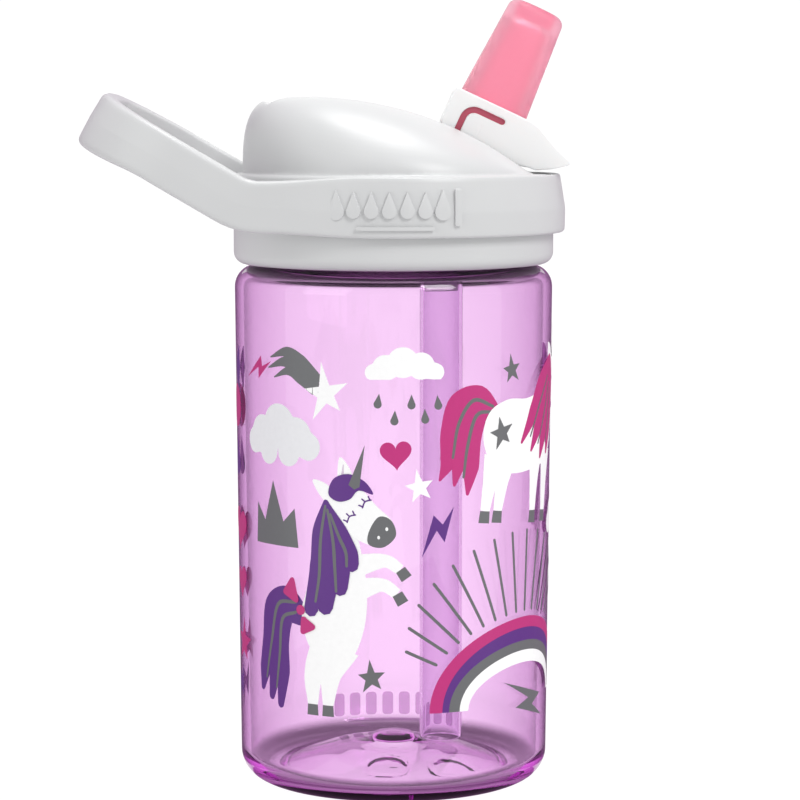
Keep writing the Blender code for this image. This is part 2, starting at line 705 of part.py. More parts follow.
# Spout and bite valve, both built upright on the pivot and then tilted ------------------
COLLAR_TOP = 16.2 * MM  # heights above the pivot, along the spout
POCKET_FLOOR = 9.5 * MM
VALVE_LOW = 9.8 * MM
VALVE_SHOULDER = 38.2 * MM  # the rounding of the top starts here
VALVE_TOP = 40.3 * MM
VALVE_HALF_X, VALVE_HALF_Y = 8.2 * MM, 9.5 * MM  # at the collar's top
TIP_HALF_X, TIP_HALF_Y = 6.7 * MM, 8.1 * MM
VALVE_WALL = 1.9 * MM
OVAL = 2.5  # power of the valve's rounded outline
POCKET_HALF_X, POCKET_HALF_Y = 8.5 * MM, 9.8 * MM
POCKET_CUT_TOP = 20.0 * MM  # above the collar's top
VALVE_NIPPLE_HALF_X, VALVE_NIPPLE_HALF_Y = 5.9 * MM, 7.2 * MM
VALVE_NIPPLE_TOP = 15.4 * MM
CHAMBER_HALF_X, CHAMBER_HALF_Y = 4.6 * MM, 5.9 * MM
CHAMBER_LOW = 7.0 * MM
SPOUT_BORE_R = 2.7 * MM
SLOT_HALF = 0.7 * MM  # half the hooked slot's width
SLOT_LEG_X, SLOT_LEG_LOW = -5.4 * MM, 4.0 * MM
SLOT_TOP, SLOT_BEND_R, SLOT_END_X = 13.3 * MM, 2.6 * MM, 3.1 * MM
SLOT_DEPTH = 1.8 * MM
VALVE_CAVITY_TOP = 36.6 * MM
SLIT_HALF_X, SLIT_HALF_Y = 3.4 * MM, 0.2 * MM


def place_on_pivot(obj, tilt=SPOUT_TILT):
    obj.matrix_world = Matrix.Translation(PIVOT) @ Matrix.Rotation(tilt, 4, "Y") @ obj.matrix_world


def oval_loft(name, sections, collection, material=None, count=32):
    """Skins ovals given as (height, half x, half y), bottom to top."""
    rings = [
        [(a, b, z) for a, b in superellipse(half_x, half_y, OVAL, count)]
        for z, half_x, half_y in sections
    ]
    return loft(name, rings, collection, material)


def spout_outline():
    """Side outline of the spout and its thumb lever, in (forward, up) from the pivot."""
    outline = [(-9.7, 15.7), (-9.8, 14.8), (-9.6, 7.8), (-7.3, 3.9)]
    outline += [(x / MM, z / MM) for x, z in arc(0, 0, BARREL_R, 172, 362, 14)]
    outline += [(8.1, 3.6), (9.6, 5.6), (12.8, 6.5), (14.6, 6.6), (18.0, 8.5), (20.6, 10.5)]
    outline += [(21.1, 11.1), (20.9, 11.9), (19.4, 12.3), (17.3, 12.95), (13.9, 14.5), (11.2, 15.8)]
    outline += [(9.4, 16.2), (-9.2, 16.2)]
    return [(x * MM, z * MM) for x, z in outline]


def slot_cutter(name, side, collection):
    """The hooked slot in the spout's side wall, as a bar along a bent path."""
    bend_x, bend_z = SLOT_LEG_X + SLOT_BEND_R, SLOT_TOP - SLOT_BEND_R
    left = [(SLOT_LEG_X - SLOT_HALF, SLOT_LEG_LOW)]
    left += arc(bend_x, bend_z, SLOT_BEND_R + SLOT_HALF, 180, 90, 6)
    tip = arc(SLOT_END_X, SLOT_TOP, SLOT_HALF, 90, -90, 6)
    right = [(SLOT_LEG_X + SLOT_HALF, SLOT_LEG_LOW)]
    right += arc(bend_x, bend_z, SLOT_BEND_R - SLOT_HALF, 180, 90, 6)
    cutter = prism(name, left + tip + right[::-1], SLOT_DEPTH + GAP / 2, collection)
    cutter.location.y = side * (SPOUT_HALF_W + GAP / 2)
    bpy.context.view_layer.update()
    place_on_pivot(cutter)
    return cutter


def flip_spout(parts, cutters):
    """Barrel with trunnions, collar with a pocket and nipple for the valve, thumb lever."""
    spout = prism("flip_spout", spout_outline(), SPOUT_HALF_W, parts)
    spout.data.materials.append(bpy.data.materials["white_gloss_polypropylene"])
    place_on_pivot(spout)
    pin_reach = Vector((0, TRUNNION_END_Y, 0))
    join(spout, cylinder("trunnion_pins", TRUNNION_R, PIVOT - pin_reach, PIVOT + pin_reach, cutters))

    pocket = oval_loft(
        "valve_pocket",
        [
            (POCKET_FLOOR, POCKET_HALF_X, POCKET_HALF_Y),
            (POCKET_CUT_TOP, POCKET_HALF_X, POCKET_HALF_Y),
        ],
        cutters,
    )
    nipple_x, nipple_y, lead = VALVE_NIPPLE_HALF_X, VALVE_NIPPLE_HALF_Y, 0.5 * MM
    nipple = oval_loft(
        "valve_nipple",
        [
            (POCKET_FLOOR - PAST, nipple_x, nipple_y),
            (VALVE_NIPPLE_TOP - 0.8 * MM, nipple_x, nipple_y),
            (VALVE_NIPPLE_TOP, nipple_x - lead, nipple_y - lead),
        ],
        cutters,
        count=28,
    )
    chamber = oval_loft(
        "nipple_chamber",
        [
            (CHAMBER_LOW, 0.7 * CHAMBER_HALF_X, 0.7 * CHAMBER_HALF_Y),
            (CHAMBER_LOW + 1.4 * MM, CHAMBER_HALF_X, CHAMBER_HALF_Y),
            (POCKET_CUT_TOP, CHAMBER_HALF_X, CHAMBER_HALF_Y),
        ],
        cutters,
        count=28,
    )
    for made in (pocket, nipple, chamber):
        place_on_pivot(made)
    axis_up = Vector((math.sin(SPOUT_TILT), 0, math.cos(SPOUT_TILT)))
    cut(spout, pocket)
    join(spout, nipple)
    cut(
        spout,
        chamber,
        cylinder(
            "spout_bore",
            SPOUT_BORE_R,
            PIVOT - axis_up * PAST,
            PIVOT + axis_up * (CHAMBER_LOW + PAST),
            cutters,
        ),
        cylinder(
            "barrel_port",
            PORT_BORE_R,
            PIVOT + Vector((0, 0, PAST)),
            PIVOT - Vector((0, 0, BARREL_R + PAST)),
            cutters,
        ),
        slot_cutter("slot_near", -1, cutters),
        slot_cutter("slot_far", 1, cutters),
    )
    return spout


def valve_half(z, inset=0.0):
    """Half widths of the valve's outside at a height above the pivot, less an inset."""
    share = max(0.0, (z - COLLAR_TOP) / (VALVE_SHOULDER - COLLAR_TOP))
    half_x = VALVE_HALF_X + (TIP_HALF_X - VALVE_HALF_X) * share
    half_y = VALVE_HALF_Y + (TIP_HALF_Y - VALVE_HALF_Y) * share
    return half_x - inset, half_y - inset


def bite_valve(parts, cutters):
    """Hollow silicone mouthpiece with a slit in its thick top."""
    sections = [(VALVE_LOW, *valve_half(VALVE_LOW)), (COLLAR_TOP, *valve_half(COLLAR_TOP))]
    for z in (22.0 * MM, 28.0 * MM, 34.0 * MM, VALVE_SHOULDER):
        sections.append((z, *valve_half(z)))
    for down, inset in ((1.0, 0.6), (0.3, 1.6), (0.0, 3.0)):
        sections.append((VALVE_TOP - down * MM, *valve_half(VALVE_SHOULDER, inset * MM)))
    valve = oval_loft("bite_valve", sections, parts, "pink_silicone")
    inner = [(VALVE_LOW - PAST, *valve_half(VALVE_LOW, VALVE_WALL))]
    for z in (16.2, 22.0, 28.0, 34.4):
        inner.append((z * MM, *valve_half(z * MM, VALVE_WALL)))
    inner.append((VALVE_CAVITY_TOP, *valve_half(VALVE_CAVITY_TOP, 1.8 * VALVE_WALL)))
    cavity = oval_loft("valve_cavity", inner, cutters, count=28)
    slit_low, slit_high = VALVE_CAVITY_TOP - 1.6 * MM, VALVE_TOP + PAST
    slit = prism(
        "bite_slit",
        [
            (-SLIT_HALF_X, slit_low),
            (SLIT_HALF_X, slit_low),
            (SLIT_HALF_X, slit_high),
            (-SLIT_HALF_X, slit_high),
        ],
        SLIT_HALF_Y,
        cutters,
    )
    for made in (valve, cavity, slit):
        place_on_pivot(made)
    cut(valve, cavity, slit)
    return valve


def main():
    clear_scene()
    make_materials()
    parts = new_collection("kids_water_bottle")
    cutters = new_collection("cutters")
    bottle_body(parts, cutters)
    threaded_collar(parts, cutters)
    cap_gasket(parts)
    vent_valve(parts)
    port_seal(parts, cutters)
    straw(parts)
    cap_cover(parts, cutters)
    carry_handle(parts)
    flip_spout(parts, cutters)
    bite_valve(parts, cutters)


main()
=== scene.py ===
import json
import math

import bmesh
import bpy
from mathutils import Matrix, Vector
from mathutils.geometry import tessellate_polygon


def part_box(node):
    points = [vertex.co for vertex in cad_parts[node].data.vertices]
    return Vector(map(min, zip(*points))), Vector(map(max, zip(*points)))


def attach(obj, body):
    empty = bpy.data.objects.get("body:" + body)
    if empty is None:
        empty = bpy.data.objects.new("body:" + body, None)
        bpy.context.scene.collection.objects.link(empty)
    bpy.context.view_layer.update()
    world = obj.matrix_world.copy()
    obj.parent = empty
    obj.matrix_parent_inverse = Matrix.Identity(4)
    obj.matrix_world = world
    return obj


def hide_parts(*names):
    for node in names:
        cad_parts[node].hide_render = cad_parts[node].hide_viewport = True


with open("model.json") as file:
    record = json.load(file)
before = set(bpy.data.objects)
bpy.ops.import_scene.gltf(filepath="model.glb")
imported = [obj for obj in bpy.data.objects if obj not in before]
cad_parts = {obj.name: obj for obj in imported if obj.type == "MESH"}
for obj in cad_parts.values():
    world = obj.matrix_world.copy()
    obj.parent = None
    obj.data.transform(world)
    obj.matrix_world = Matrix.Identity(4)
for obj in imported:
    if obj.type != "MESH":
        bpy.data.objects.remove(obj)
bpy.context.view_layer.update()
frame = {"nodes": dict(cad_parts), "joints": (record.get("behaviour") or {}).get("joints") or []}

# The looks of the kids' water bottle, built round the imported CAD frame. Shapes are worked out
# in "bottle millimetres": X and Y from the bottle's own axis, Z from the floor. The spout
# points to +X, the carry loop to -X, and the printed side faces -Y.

scene = bpy.context.scene

MM = 0.001


def node_box(name):
    """A node's lowest and highest corner in the frame, in millimetres."""
    low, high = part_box(name)
    return Vector(low) / MM, Vector(high) / MM


BODY_LOW, BODY_HIGH = node_box("bottle_body")
STRAW_LOW, STRAW_HIGH = node_box("straw")
COLLAR_LOW, COLLAR_HIGH = node_box("threaded_collar")
BAND_LOW, BAND_HIGH = node_box("carry_handle")
SEAL_LOW, SEAL_HIGH = node_box("port_seal")
JOINTS = {joint["name"]: joint for joint in frame["joints"]}
AXIS = (BODY_LOW.x + BODY_HIGH.x) / 2  # the bottle's axis in the frame, in millimetres
PIVOT = Vector(JOINTS["spout_flip"]["pos_m"]) / MM - Vector((AXIS, 0, 0))

# Bottle
SHOULDER_R = (BODY_HIGH.x - BODY_LOW.x) / 2
FOOT_R = SHOULDER_R - 1.0
SHOULDER_Z = 119.4
NECK_TOP_Z = BODY_HIGH.z
WALL = 2.0
FOOT_FILLET = 6.2
FOOT_THICK = 3.0
MARK_HEIGHT, MARK_WIDTH = 0.35, 0.55
SHOULDER_FILLET = 5.0
NECK_IN_R = 27.4
NECK_OUT_R = 29.6
THREAD_H = 1.3
THREAD_LEAD = 8.0
THREAD_LOW_Z = 124.6
# Cap
GAP = 0.3
COLLAR_R = (COLLAR_HIGH.x - COLLAR_LOW.x) / 2
COLLAR_LOW_Z = SHOULDER_Z + GAP
COLLAR_DECK_Z = COLLAR_HIGH.z
COLLAR_STEP_Z = 128.4
COLLAR_SPIGOT_R = 34.2
COLLAR_IN_R = NECK_OUT_R + THREAD_H + 0.4
PLUG_OUT_R = 26.9
PLUG_IN_R = 25.7
PAN_LOW_Z, PAN_TOP_Z = 129.0, 131.0
DECK_Z = 140.4
DOME_TOP_Z = 157.9
DOME_R = 34.7
BAND_R = BAND_HIGH.x - AXIS
BAND_LOW_Z, BAND_TOP_Z = BAND_LOW.z, DECK_Z
LOOP_REACH = AXIS - BAND_LOW.x
LOOP_TILT = math.radians(30)
STRAW_X = (STRAW_LOW.x + STRAW_HIGH.x) / 2 - AXIS
STRAW_R = (STRAW_HIGH.x - STRAW_LOW.x) / 2
STRAW_BORE_R = 4.2
PORT_X = (SEAL_LOW.x + SEAL_HIGH.x) / 2 - AXIS
PORT_BOSS_R, PORT_BORE_R, SEAL_POCKET_R = 6.9, 2.6, 5.5
BLOCK_R, BLOCK_LOW_Z, BLOCK_TOP_Z = 5.6, 125.0, 130.0
NIPPLE_R, NIPPLE_BORE_R, NIPPLE_LOW_Z = 3.9, 2.7, 114.0
VENT_STEM_R, VENT_HOLE_R, VENT_RING_R = 1.6, 0.7, 3.0
DOME_WALL = 2.3
RIDGE_FRONT, RIDGE_REAR, RIDGE_HALF_W = 31.0, 24.0, 13.5
CHANNEL_REAR_X, CHANNEL_FRONT_X, CHANNEL_WALL = -28.4, 8.5, 1.8
SLOT_FRONT_X = 25.8
BOSS_R, BOSS_REACH = 5.4, 16.0
PIN_HOLE_R, PIN_HOLE_REACH = 2.9, 14.2
FAR = 45.0  # past the lid on every side
# Spout
SPOUT_TILT = math.radians(25)
BARREL_R = 7.2
SPOUT_HALF_W = 11.0
CHANNEL_HALF_W = 11.4
CLOSED_RISE = math.radians(12)
VENT_X = -12.0
# How deep the clear plastic's colour gets, partly from thick plastic and partly as painted shade and
# painted dark edges: shares of Facing, and distances in millimetres
RIM_FROM, RIM_FULL = 0.62, 0.92
FOOT_RING_R, FOOT_FAR, FOOT_NEAR = 32.5, 7.0, 3.5
SHOULDER_RING_R, SHOULDER_FAR, SHOULDER_NEAR = 30.5, 6.0, 2.0
DEEP_AND_SHADED_TINT = (0.17, 0.14, 0.17)
RIM_TINT = (0.07, 0.04, 0.075)
DEPTH_TINT = (0.902, 0.0, 0.902)


# Geometry helpers ---------------------------------------------------------------------
def solid(name, points, faces):
    """A mesh object from points in bottle millimetres, with its faces turned outwards."""
    mesh = bpy.data.meshes.new(name)
    mesh.from_pydata([((AXIS + x) * MM, y * MM, z * MM) for x, y, z in points], [], faces)
    bm = bmesh.new()
    bm.from_mesh(mesh)
    bmesh.ops.recalc_face_normals(bm, faces=bm.faces)
    bm.to_mesh(mesh)
    bm.free()
    obj = bpy.data.objects.new(name, mesh)
    scene.collection.objects.link(obj)
    return obj


def shade(obj, angle=35):
    """Smooth shading, with the edges sharper than an angle in degrees kept crisp."""
    obj.data.shade_smooth()
    obj.data.set_sharp_from_angle(angle=math.radians(angle))


def rounded(corners, closed=False, segments=6):
    """A profile from corners (across, up, fillet), where each fillet becomes an arc."""
    out = []
    count = len(corners)
    for i, (across, up, fillet) in enumerate(corners):
        at_end = not closed and i in (0, count - 1)
        if fillet == 0 or at_end:
            out.append((across, up))
            continue
        p = Vector((across, up))
        a = Vector(corners[i - 1][:2]) - p
        b = Vector(corners[(i + 1) % count][:2]) - p
        half = a.angle(b) / 2
        if abs(half - math.pi / 2) < 0.01:
            out.append((across, up))
            continue
        back = min(fillet / math.tan(half), a.length * 0.49, b.length * 0.49)
        radius = back * math.tan(half)
        a.normalize()
        b.normalize()
        centre = p + (a + b).normalized() * (radius / math.sin(half))
        first, last = p + a * back - centre, p + b * back - centre
        start = math.atan2(first.y, first.x)
        sweep = (math.atan2(last.y, last.x) - start + math.pi) % (2 * math.pi) - math.pi
        for k in range(segments + 1):
            turn = start + sweep * k / segments
            out.append((centre.x + radius * math.cos(turn), centre.y + radius * math.sin(turn)))
    return out


def spline(points, closed=False, per=8):
    """A smooth curve through the points."""
    out = []
    count = len(points)
    spans = count if closed else count - 1
    for i in range(spans):
        if closed:
            p0, p1, p2, p3 = (Vector(points[(i + k - 1) % count]) for k in range(4))
        else:
            p1, p2 = Vector(points[i]), Vector(points[i + 1])
            p0 = Vector(points[i - 1]) if i else p1 * 2 - p2
            p3 = Vector(points[i + 2]) if i + 2 < count else p2 * 2 - p1
        for k in range(per):
            t = k / per
            out.append(
                (
                    p1 * 2
                    + (p2 - p0) * t
                    + (p0 * 2 - p1 * 5 + p2 * 4 - p3) * t**2
                    + (p1 * 3 - p0 - p2 * 3 + p3) * t**3
                )
                / 2
            )
    if not closed:
        out.append(Vector(points[-1]))
    return out


def revolve(name, profile, steps=192, x=0.0, closed=False):
    """A profile of (radius, height) turned about the upright line at x."""
    points, faces, rows = [], [], []
    for r, z in profile:
        if r < 1e-6:
            rows.append([len(points)] * steps)
            points.append((x, 0, z))
            continue
        rows.append(list(range(len(points), len(points) + steps)))
        for i in range(steps):
            turn = 2 * math.pi * i / steps
            points.append((x + r * math.cos(turn), r * math.sin(turn), z))
    pairs = list(zip(rows, rows[1:]))
    if closed:
        pairs.append((rows[-1], rows[0]))
    for low, high in pairs:
        for i in range(steps):
            j = (i + 1) % steps
            corners = [low[i], low[j], high[j], high[i]]
            corners = [c for k, c in enumerate(corners) if c not in corners[:k]]
            if len(corners) > 2:
                faces.append(corners)
    return solid(name, points, faces)


def loft(name, rings, looped=False):
    """Skins rings that have the same number of points, with flat ends unless looped."""
    points = [p for ring in rings for p in ring]
    size = len(rings[0])
    faces = []
    count = len(rings)
    for k in range(count if looped else count - 1):
        low, high = k * size, ((k + 1) % count) * size
        for i in range(size):
            j = (i + 1) % size
            faces.append((low + i, low + j, high + j, high + i))
    if not looped:
        faces.append(tuple(range(size)))
        faces.append(tuple(range((count - 1) * size, count * size)))
    return solid(name, points, faces)


def prism(name, outline, half_width, middle=0.0):
    """An outline of (x, z) thickened along Y."""
    size = len(outline)
    points = [(x, middle - half_width, z) for x, z in outline]
    points += [(x, middle + half_width, z) for x, z in outline]
    faces = [tuple(range(size)), tuple(range(2 * size - 1, size - 1, -1))]
    faces += [(i, (i + 1) % size, size + (i + 1) % size, size + i) for i in range(size)]
    return solid(name, points, faces)


def rod(name, radius, start, end, steps=48):
    """A round rod from one point to another."""
    start, end = Vector(start), Vector(end)
    along = (end - start).normalized()
    side = along.orthogonal().normalized()
    other = along.cross(side)
    rings = []
    for centre in (start, end):
        ring = []
        for i in range(steps):
            turn = 2 * math.pi * i / steps
            ring.append(centre + (side * math.cos(turn) + other * math.sin(turn)) * radius)
        rings.append(ring)
    return loft(name, rings)


def oval(half_a, half_b, power, count):
    """Points of a rounded outline."""
    points = []
    for i in range(count):
        turn = 2 * math.pi * i / count
        c, s = math.cos(turn), math.sin(turn)
        points.append(
            (
                half_a * math.copysign(abs(c) ** (2 / power), c),
                half_b * math.copysign(abs(s) ** (2 / power), s),
            )
        )
    return points


def bake(obj):
    """Applies an object's modifiers to its mesh."""
    bpy.context.view_layer.update()
    graph = bpy.context.evaluated_depsgraph_get()
    mesh = bpy.data.meshes.new_from_object(obj.evaluated_get(graph))
    obj.modifiers.clear()
    obj.data = mesh
    return obj


def combine(obj, others, operation):
    """Adds or takes away other objects, which are used up."""
    for other in others:
        modifier = obj.modifiers.new(other.name, "BOOLEAN")
        modifier.operation = operation
        modifier.object = other
        modifier.solver = "EXACT"
    bake(obj)
    for other in others:
        bpy.data.objects.remove(other)
    return obj


def cut(obj, *others):
    """Takes the other objects away from obj."""
    return combine(obj, others, "DIFFERENCE")


def join(obj, *others):
    """Makes obj and the others one solid."""
    return combine(obj, others, "UNION")


def melt(obj, voxel, passes):
    """Remeshes a moulding finely and relaxes it, which rounds its edges a little."""
    remesh = obj.modifiers.new("remesh", "REMESH")
    remesh.mode = "VOXEL"
    remesh.voxel_size = voxel * MM
    relax = obj.modifiers.new("relax", "SMOOTH")
    relax.factor = 0.5
    relax.iterations = passes
    bake(obj)
    obj.data.shade_smooth()
    return obj


def on_pivot(obj, tilt=SPOUT_TILT):
    """Moves a piece built upright on the bottle's axis at Z = 0 to the spout's pivot."""
    home = Matrix.Translation((AXIS * MM, 0, 0))
    place = Matrix.Translation((Vector((AXIS, 0, 0)) + PIVOT) * MM)
    obj.data.transform(place @ Matrix.Rotation(tilt, 4, "Y") @ home.inverted())
    return obj


# Materials ----------------------------------------------------------------------------
def new_material(name):
    """A node material, its node tree and its Principled shader."""
    material = bpy.data.materials.new(name)
    material.use_nodes = True
    tree = material.node_tree
    return material, tree, tree.nodes["Principled BSDF"]


def add_node(tree, kind, **inputs):
    """A shader node with its inputs set by name."""
    node = tree.nodes.new(kind)
    for key, value in inputs.items():
        node.inputs[key.replace("_", " ")].default_value = value
    return node


def noise(tree, scale, detail=3.0):
    """Noise that is fixed to the object, from 0 to 1. The scale is in waves a metre."""
    coordinates = tree.nodes.new("ShaderNodeTexCoord")
    texture = add_node(tree, "ShaderNodeTexNoise", Scale=scale, Detail=detail)
    tree.links.new(coordinates.outputs["Object"], texture.inputs["Vector"])
    return texture.outputs["Fac"]


def spread(tree, value, low, high):
    """Maps a 0 to 1 value to low to high."""
    node = add_node(tree, "ShaderNodeMapRange", To_Min=low, To_Max=high)
    tree.links.new(value, node.inputs["Value"])
    return node.outputs["Result"]


def bump(tree, shader, height, strength, distance):
    """A bump from a height map, its distance in millimetres."""
    node = add_node(tree, "ShaderNodeBump", Strength=strength, Distance=distance * MM)
    tree.links.new(height, node.inputs["Height"])
    tree.links.new(node.outputs["Normal"], shader.inputs["Normal"])


def tinted(tree, value, dark, light):
    """A colour between two as a value goes from 0 to 1."""
    node = tree.nodes.new("ShaderNodeMix")
    node.data_type = "RGBA"
    node.inputs["A"].default_value = (*dark, 1)
    node.inputs["B"].default_value = (*light, 1)
    tree.links.new(value, node.inputs["Factor"])
    return node.outputs["Result"]


def moulded(name, dark, light, rough, grain=1400.0, grain_depth=0.02, subsurface=0.0):
    """Moulded plastic: a fine grain, patchy gloss and a faint drift of colour."""
    material, tree, shader = new_material(name)
    tree.links.new(tinted(tree, noise(tree, 35.0), dark, light), shader.inputs["Base Color"])
    gloss = spread(tree, noise(tree, 90.0), rough - 0.05, rough + 0.06)
    tree.links.new(gloss, shader.inputs["Roughness"])
    bump(tree, shader, noise(tree, grain, 2.0), 0.35, grain_depth)
    shader.inputs["IOR"].default_value = 1.49
    if subsurface:
        shader.inputs["Subsurface Weight"].default_value = subsurface
        shader.inputs["Subsurface Radius"].default_value = (1.0, 0.9, 0.85)
        shader.inputs["Subsurface Scale"].default_value = 2.5 * MM
    return material


def let_light_in(material, tree, shader, tint):
    """Lamps shine through the clear material, tinted."""
    clear = tree.nodes.new("ShaderNodeBsdfTransparent")
    clear.inputs["Color"].default_value = (*tint, 1)
    path = tree.nodes.new("ShaderNodeLightPath")
    mix = tree.nodes.new("ShaderNodeMixShader")
    tree.links.new(path.outputs["Is Shadow Ray"], mix.inputs["Fac"])
    tree.links.new(shader.outputs["BSDF"], mix.inputs[1])
    tree.links.new(clear.outputs["BSDF"], mix.inputs[2])
    tree.links.new(mix.outputs["Shader"], tree.nodes["Material Output"].inputs["Surface"])
    return material


def deepened(tree, colour, value, low, high, deep):
    """Turns a colour smoothly to a deeper one as a value goes from low to high."""
    part = tree.nodes.new("ShaderNodeMapRange")
    part.interpolation_type = "SMOOTHSTEP"
    part.inputs["From Min"].default_value = low
    part.inputs["From Max"].default_value = high
    tree.links.new(value, part.inputs["Value"])
    mix = tree.nodes.new("ShaderNodeMix")
    mix.data_type = "RGBA"
    mix.inputs["B"].default_value = (*deep, 1)
    tree.links.new(colour, mix.inputs["A"])
    tree.links.new(part.outputs["Result"], mix.inputs["Factor"])
    return mix.outputs["Result"]


def worked(tree, kind, operation, output, *values):
    """A maths node's result, from linked sockets or plain values."""
    node = tree.nodes.new(kind)
    node.operation = operation
    for socket, value in zip(node.inputs, values):
        if isinstance(value, bpy.types.NodeSocket):
            tree.links.new(value, socket)
        else:
            socket.default_value = value
    return node.outputs[output]


def ring_distance(tree, radius, height):
    """The distance, in metres, of a point from a level circle round the bottle's axis."""
    place = tree.nodes.new("ShaderNodeTexCoord").outputs["Object"]
    middle = (AXIS * MM, 0, height * MM)
    from_middle = worked(tree, "ShaderNodeVectorMath", "SUBTRACT", "Vector", place, middle)
    level = worked(tree, "ShaderNodeVectorMath", "MULTIPLY", "Vector", from_middle, (1, 1, 0))
    reach = worked(tree, "ShaderNodeVectorMath", "LENGTH", "Value", level)
    across = worked(tree, "ShaderNodeMath", "SUBTRACT", "Value", reach, radius * MM)
    up = worked(tree, "ShaderNodeVectorMath", "DOT_PRODUCT", "Value", from_middle, (0, 0, 1))
    section = tree.nodes.new("ShaderNodeCombineXYZ")
    tree.links.new(across, section.inputs["X"])
    tree.links.new(up, section.inputs["Y"])
    return worked(tree, "ShaderNodeVectorMath", "LENGTH", "Value", section.outputs["Vector"])


def thick_and_shaded_parts(tree, colour):
    """Deepens the bottle's colour at its edges, in its heavy foot and inside the shoulder: partly the
    deeper colour of thick plastic, partly painted shade at the foot and under the lid's skirt, and a
    painted dark reflection where the wall is seen edge on.
    """
    # Painted dark reflection: darker where the wall is seen edge on.
    grazing = add_node(tree, "ShaderNodeLayerWeight", Blend=0.5)
    colour = deepened(tree, colour, grazing.outputs["Facing"], RIM_FROM, RIM_FULL, RIM_TINT)
    # Painted shade in the foot and under the lid's skirt, on top of the thick plastic's deeper colour.
    foot = ring_distance(tree, FOOT_RING_R, 0.0)
    colour = deepened(tree, colour, foot, FOOT_FAR * MM, FOOT_NEAR * MM, DEEP_AND_SHADED_TINT)
    shoulder = ring_distance(tree, SHOULDER_RING_R, SHOULDER_Z)
    return deepened(tree, colour, shoulder, SHOULDER_FAR * MM, SHOULDER_NEAR * MM, DEEP_AND_SHADED_TINT)


def clear_plastic(name, face, edge, shadow_tint, rough, ior, blend, ripple, density=0.0, clear=1.0):
    """Tinted clear plastic, deeper where it is seen edge on. One with a density is deeper where thick, and
    gets painted shade at its edges, its foot and under the lid.
    """
    material, tree, shader = new_material(name)
    # The edge colour is partly the longer path through the plastic seen edge on and partly painted shade:
    # a painted dark reflection of the surroundings along the outline.
    weight = add_node(tree, "ShaderNodeLayerWeight", Blend=blend)
    colour = tinted(tree, weight.outputs["Facing"], face, edge)
    if density:
        # Adds painted shade at the edges, the foot and under the lid.
        colour = thick_and_shaded_parts(tree, colour)
        depth = add_node(tree, "ShaderNodeVolumeAbsorption", Density=density)
        depth.inputs["Color"].default_value = (*DEPTH_TINT, 1)
        tree.links.new(depth.outputs["Volume"], tree.nodes["Material Output"].inputs["Volume"])
    tree.links.new(colour, shader.inputs["Base Color"])
    shader.inputs["Transmission Weight"].default_value = clear
    shader.inputs["IOR"].default_value = ior
    gloss = spread(tree, noise(tree, 60.0), rough, rough + 0.02)
    tree.links.new(gloss, shader.inputs["Roughness"])
    bump(tree, shader, noise(tree, 45.0, 1.0), 0.3, ripple)
    return let_light_in(material, tree, shader, shadow_tint)


def ink(name, colour, rough=0.38, alpha=1.0):
    """Screen-printed ink, with a fine mottle."""
    material, tree, shader = new_material(name)
    dark = tuple(c * 0.93 for c in colour)
    tree.links.new(tinted(tree, noise(tree, 900.0), dark, colour), shader.inputs["Base Color"])
    gloss = spread(tree, noise(tree, 300.0), rough - 0.05, rough + 0.05)
    tree.links.new(gloss, shader.inputs["Roughness"])
    bump(tree, shader, noise(tree, 2500.0, 1.0), 0.2, 0.01)
    shader.inputs["Alpha"].default_value = alpha
    return material


WHITE_PP = moulded("white_satin_plastic", (0.58, 0.585, 0.59), (0.64, 0.645, 0.65), 0.36)
SPOUT_PP = moulded(
    "white_spout_plastic",
    (0.84, 0.84, 0.84),
    (0.90, 0.90, 0.90),
    rough=0.30,
    grain=900.0,
    grain_depth=0.012,
    subsurface=0.25,
)
MILKY_SILICONE = moulded(
    "milky_silicone",
    (0.72, 0.72, 0.71),
    (0.80, 0.80, 0.79),
    rough=0.45,
    grain=700.0,
    grain_depth=0.01,
    subsurface=0.3,
)
# A darker copy of the pink silicone: painted shade deep in the spout's slots.
SLOT_SHADED_SILICONE = moulded(
    "shaded_pink_silicone",
    (0.42, 0.06, 0.10),
    (0.50, 0.09, 0.14),
    rough=0.45,
    grain=700.0,
    grain_depth=0.01,
)
BOTTLE_CLEAR = clear_plastic(
    "lilac_clear_plastic",
    face=(1.0, 1.0, 1.0),
    edge=(0.20, 0.07, 0.22),
    shadow_tint=(0.97, 0.80, 0.97),
    rough=0.0,
    ior=1.45,
    blend=0.2,
    ripple=0.05,
    density=115.0,
)
STRAW_CLEAR = clear_plastic(
    "straw_clear_plastic",
    face=(0.88, 0.79, 0.90),
    edge=(0.60, 0.42, 0.64),
    shadow_tint=(0.95, 0.90, 0.95),
    rough=0.05,
    ior=1.12,
    blend=0.3,
    ripple=0.01,
)
PINK_SILICONE = clear_plastic(
    "pink_silicone",
    face=(0.91, 0.50, 0.60),
    edge=(0.80, 0.36, 0.46),
    shadow_tint=(0.98, 0.66, 0.74),
    rough=0.38,
    ior=1.3,
    blend=0.35,
    ripple=0.02,
    clear=0.86,
)
INK_WHITE = ink("ink_white", (0.985, 0.985, 0.985))
INK_CLOUD = ink("ink_cloud", (0.83, 0.83, 0.86))
INK_GREY = ink("ink_grey", (0.15, 0.155, 0.16))
INK_MAGENTA = ink("ink_magenta", (0.55, 0.025, 0.20))
INK_PURPLE = ink("ink_purple", (0.115, 0.028, 0.24))
INK_PALE = ink("ink_pale_lilac", (0.50, 0.24, 0.54), alpha=0.3)


def finish_piece(obj, material, body, slot, *nodes, angle=35):
    """Gives a piece its material and its body, and hides the nodes it stands for. Its record slot is not
    used.
    """
    obj.data.materials.clear()
    obj.data.materials.append(material)
    for polygon in obj.data.polygons:
        polygon.material_index = 0
    if angle:
        shade(obj, angle)
    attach(obj, body)
    if nodes:
        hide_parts(*nodes)
    return obj


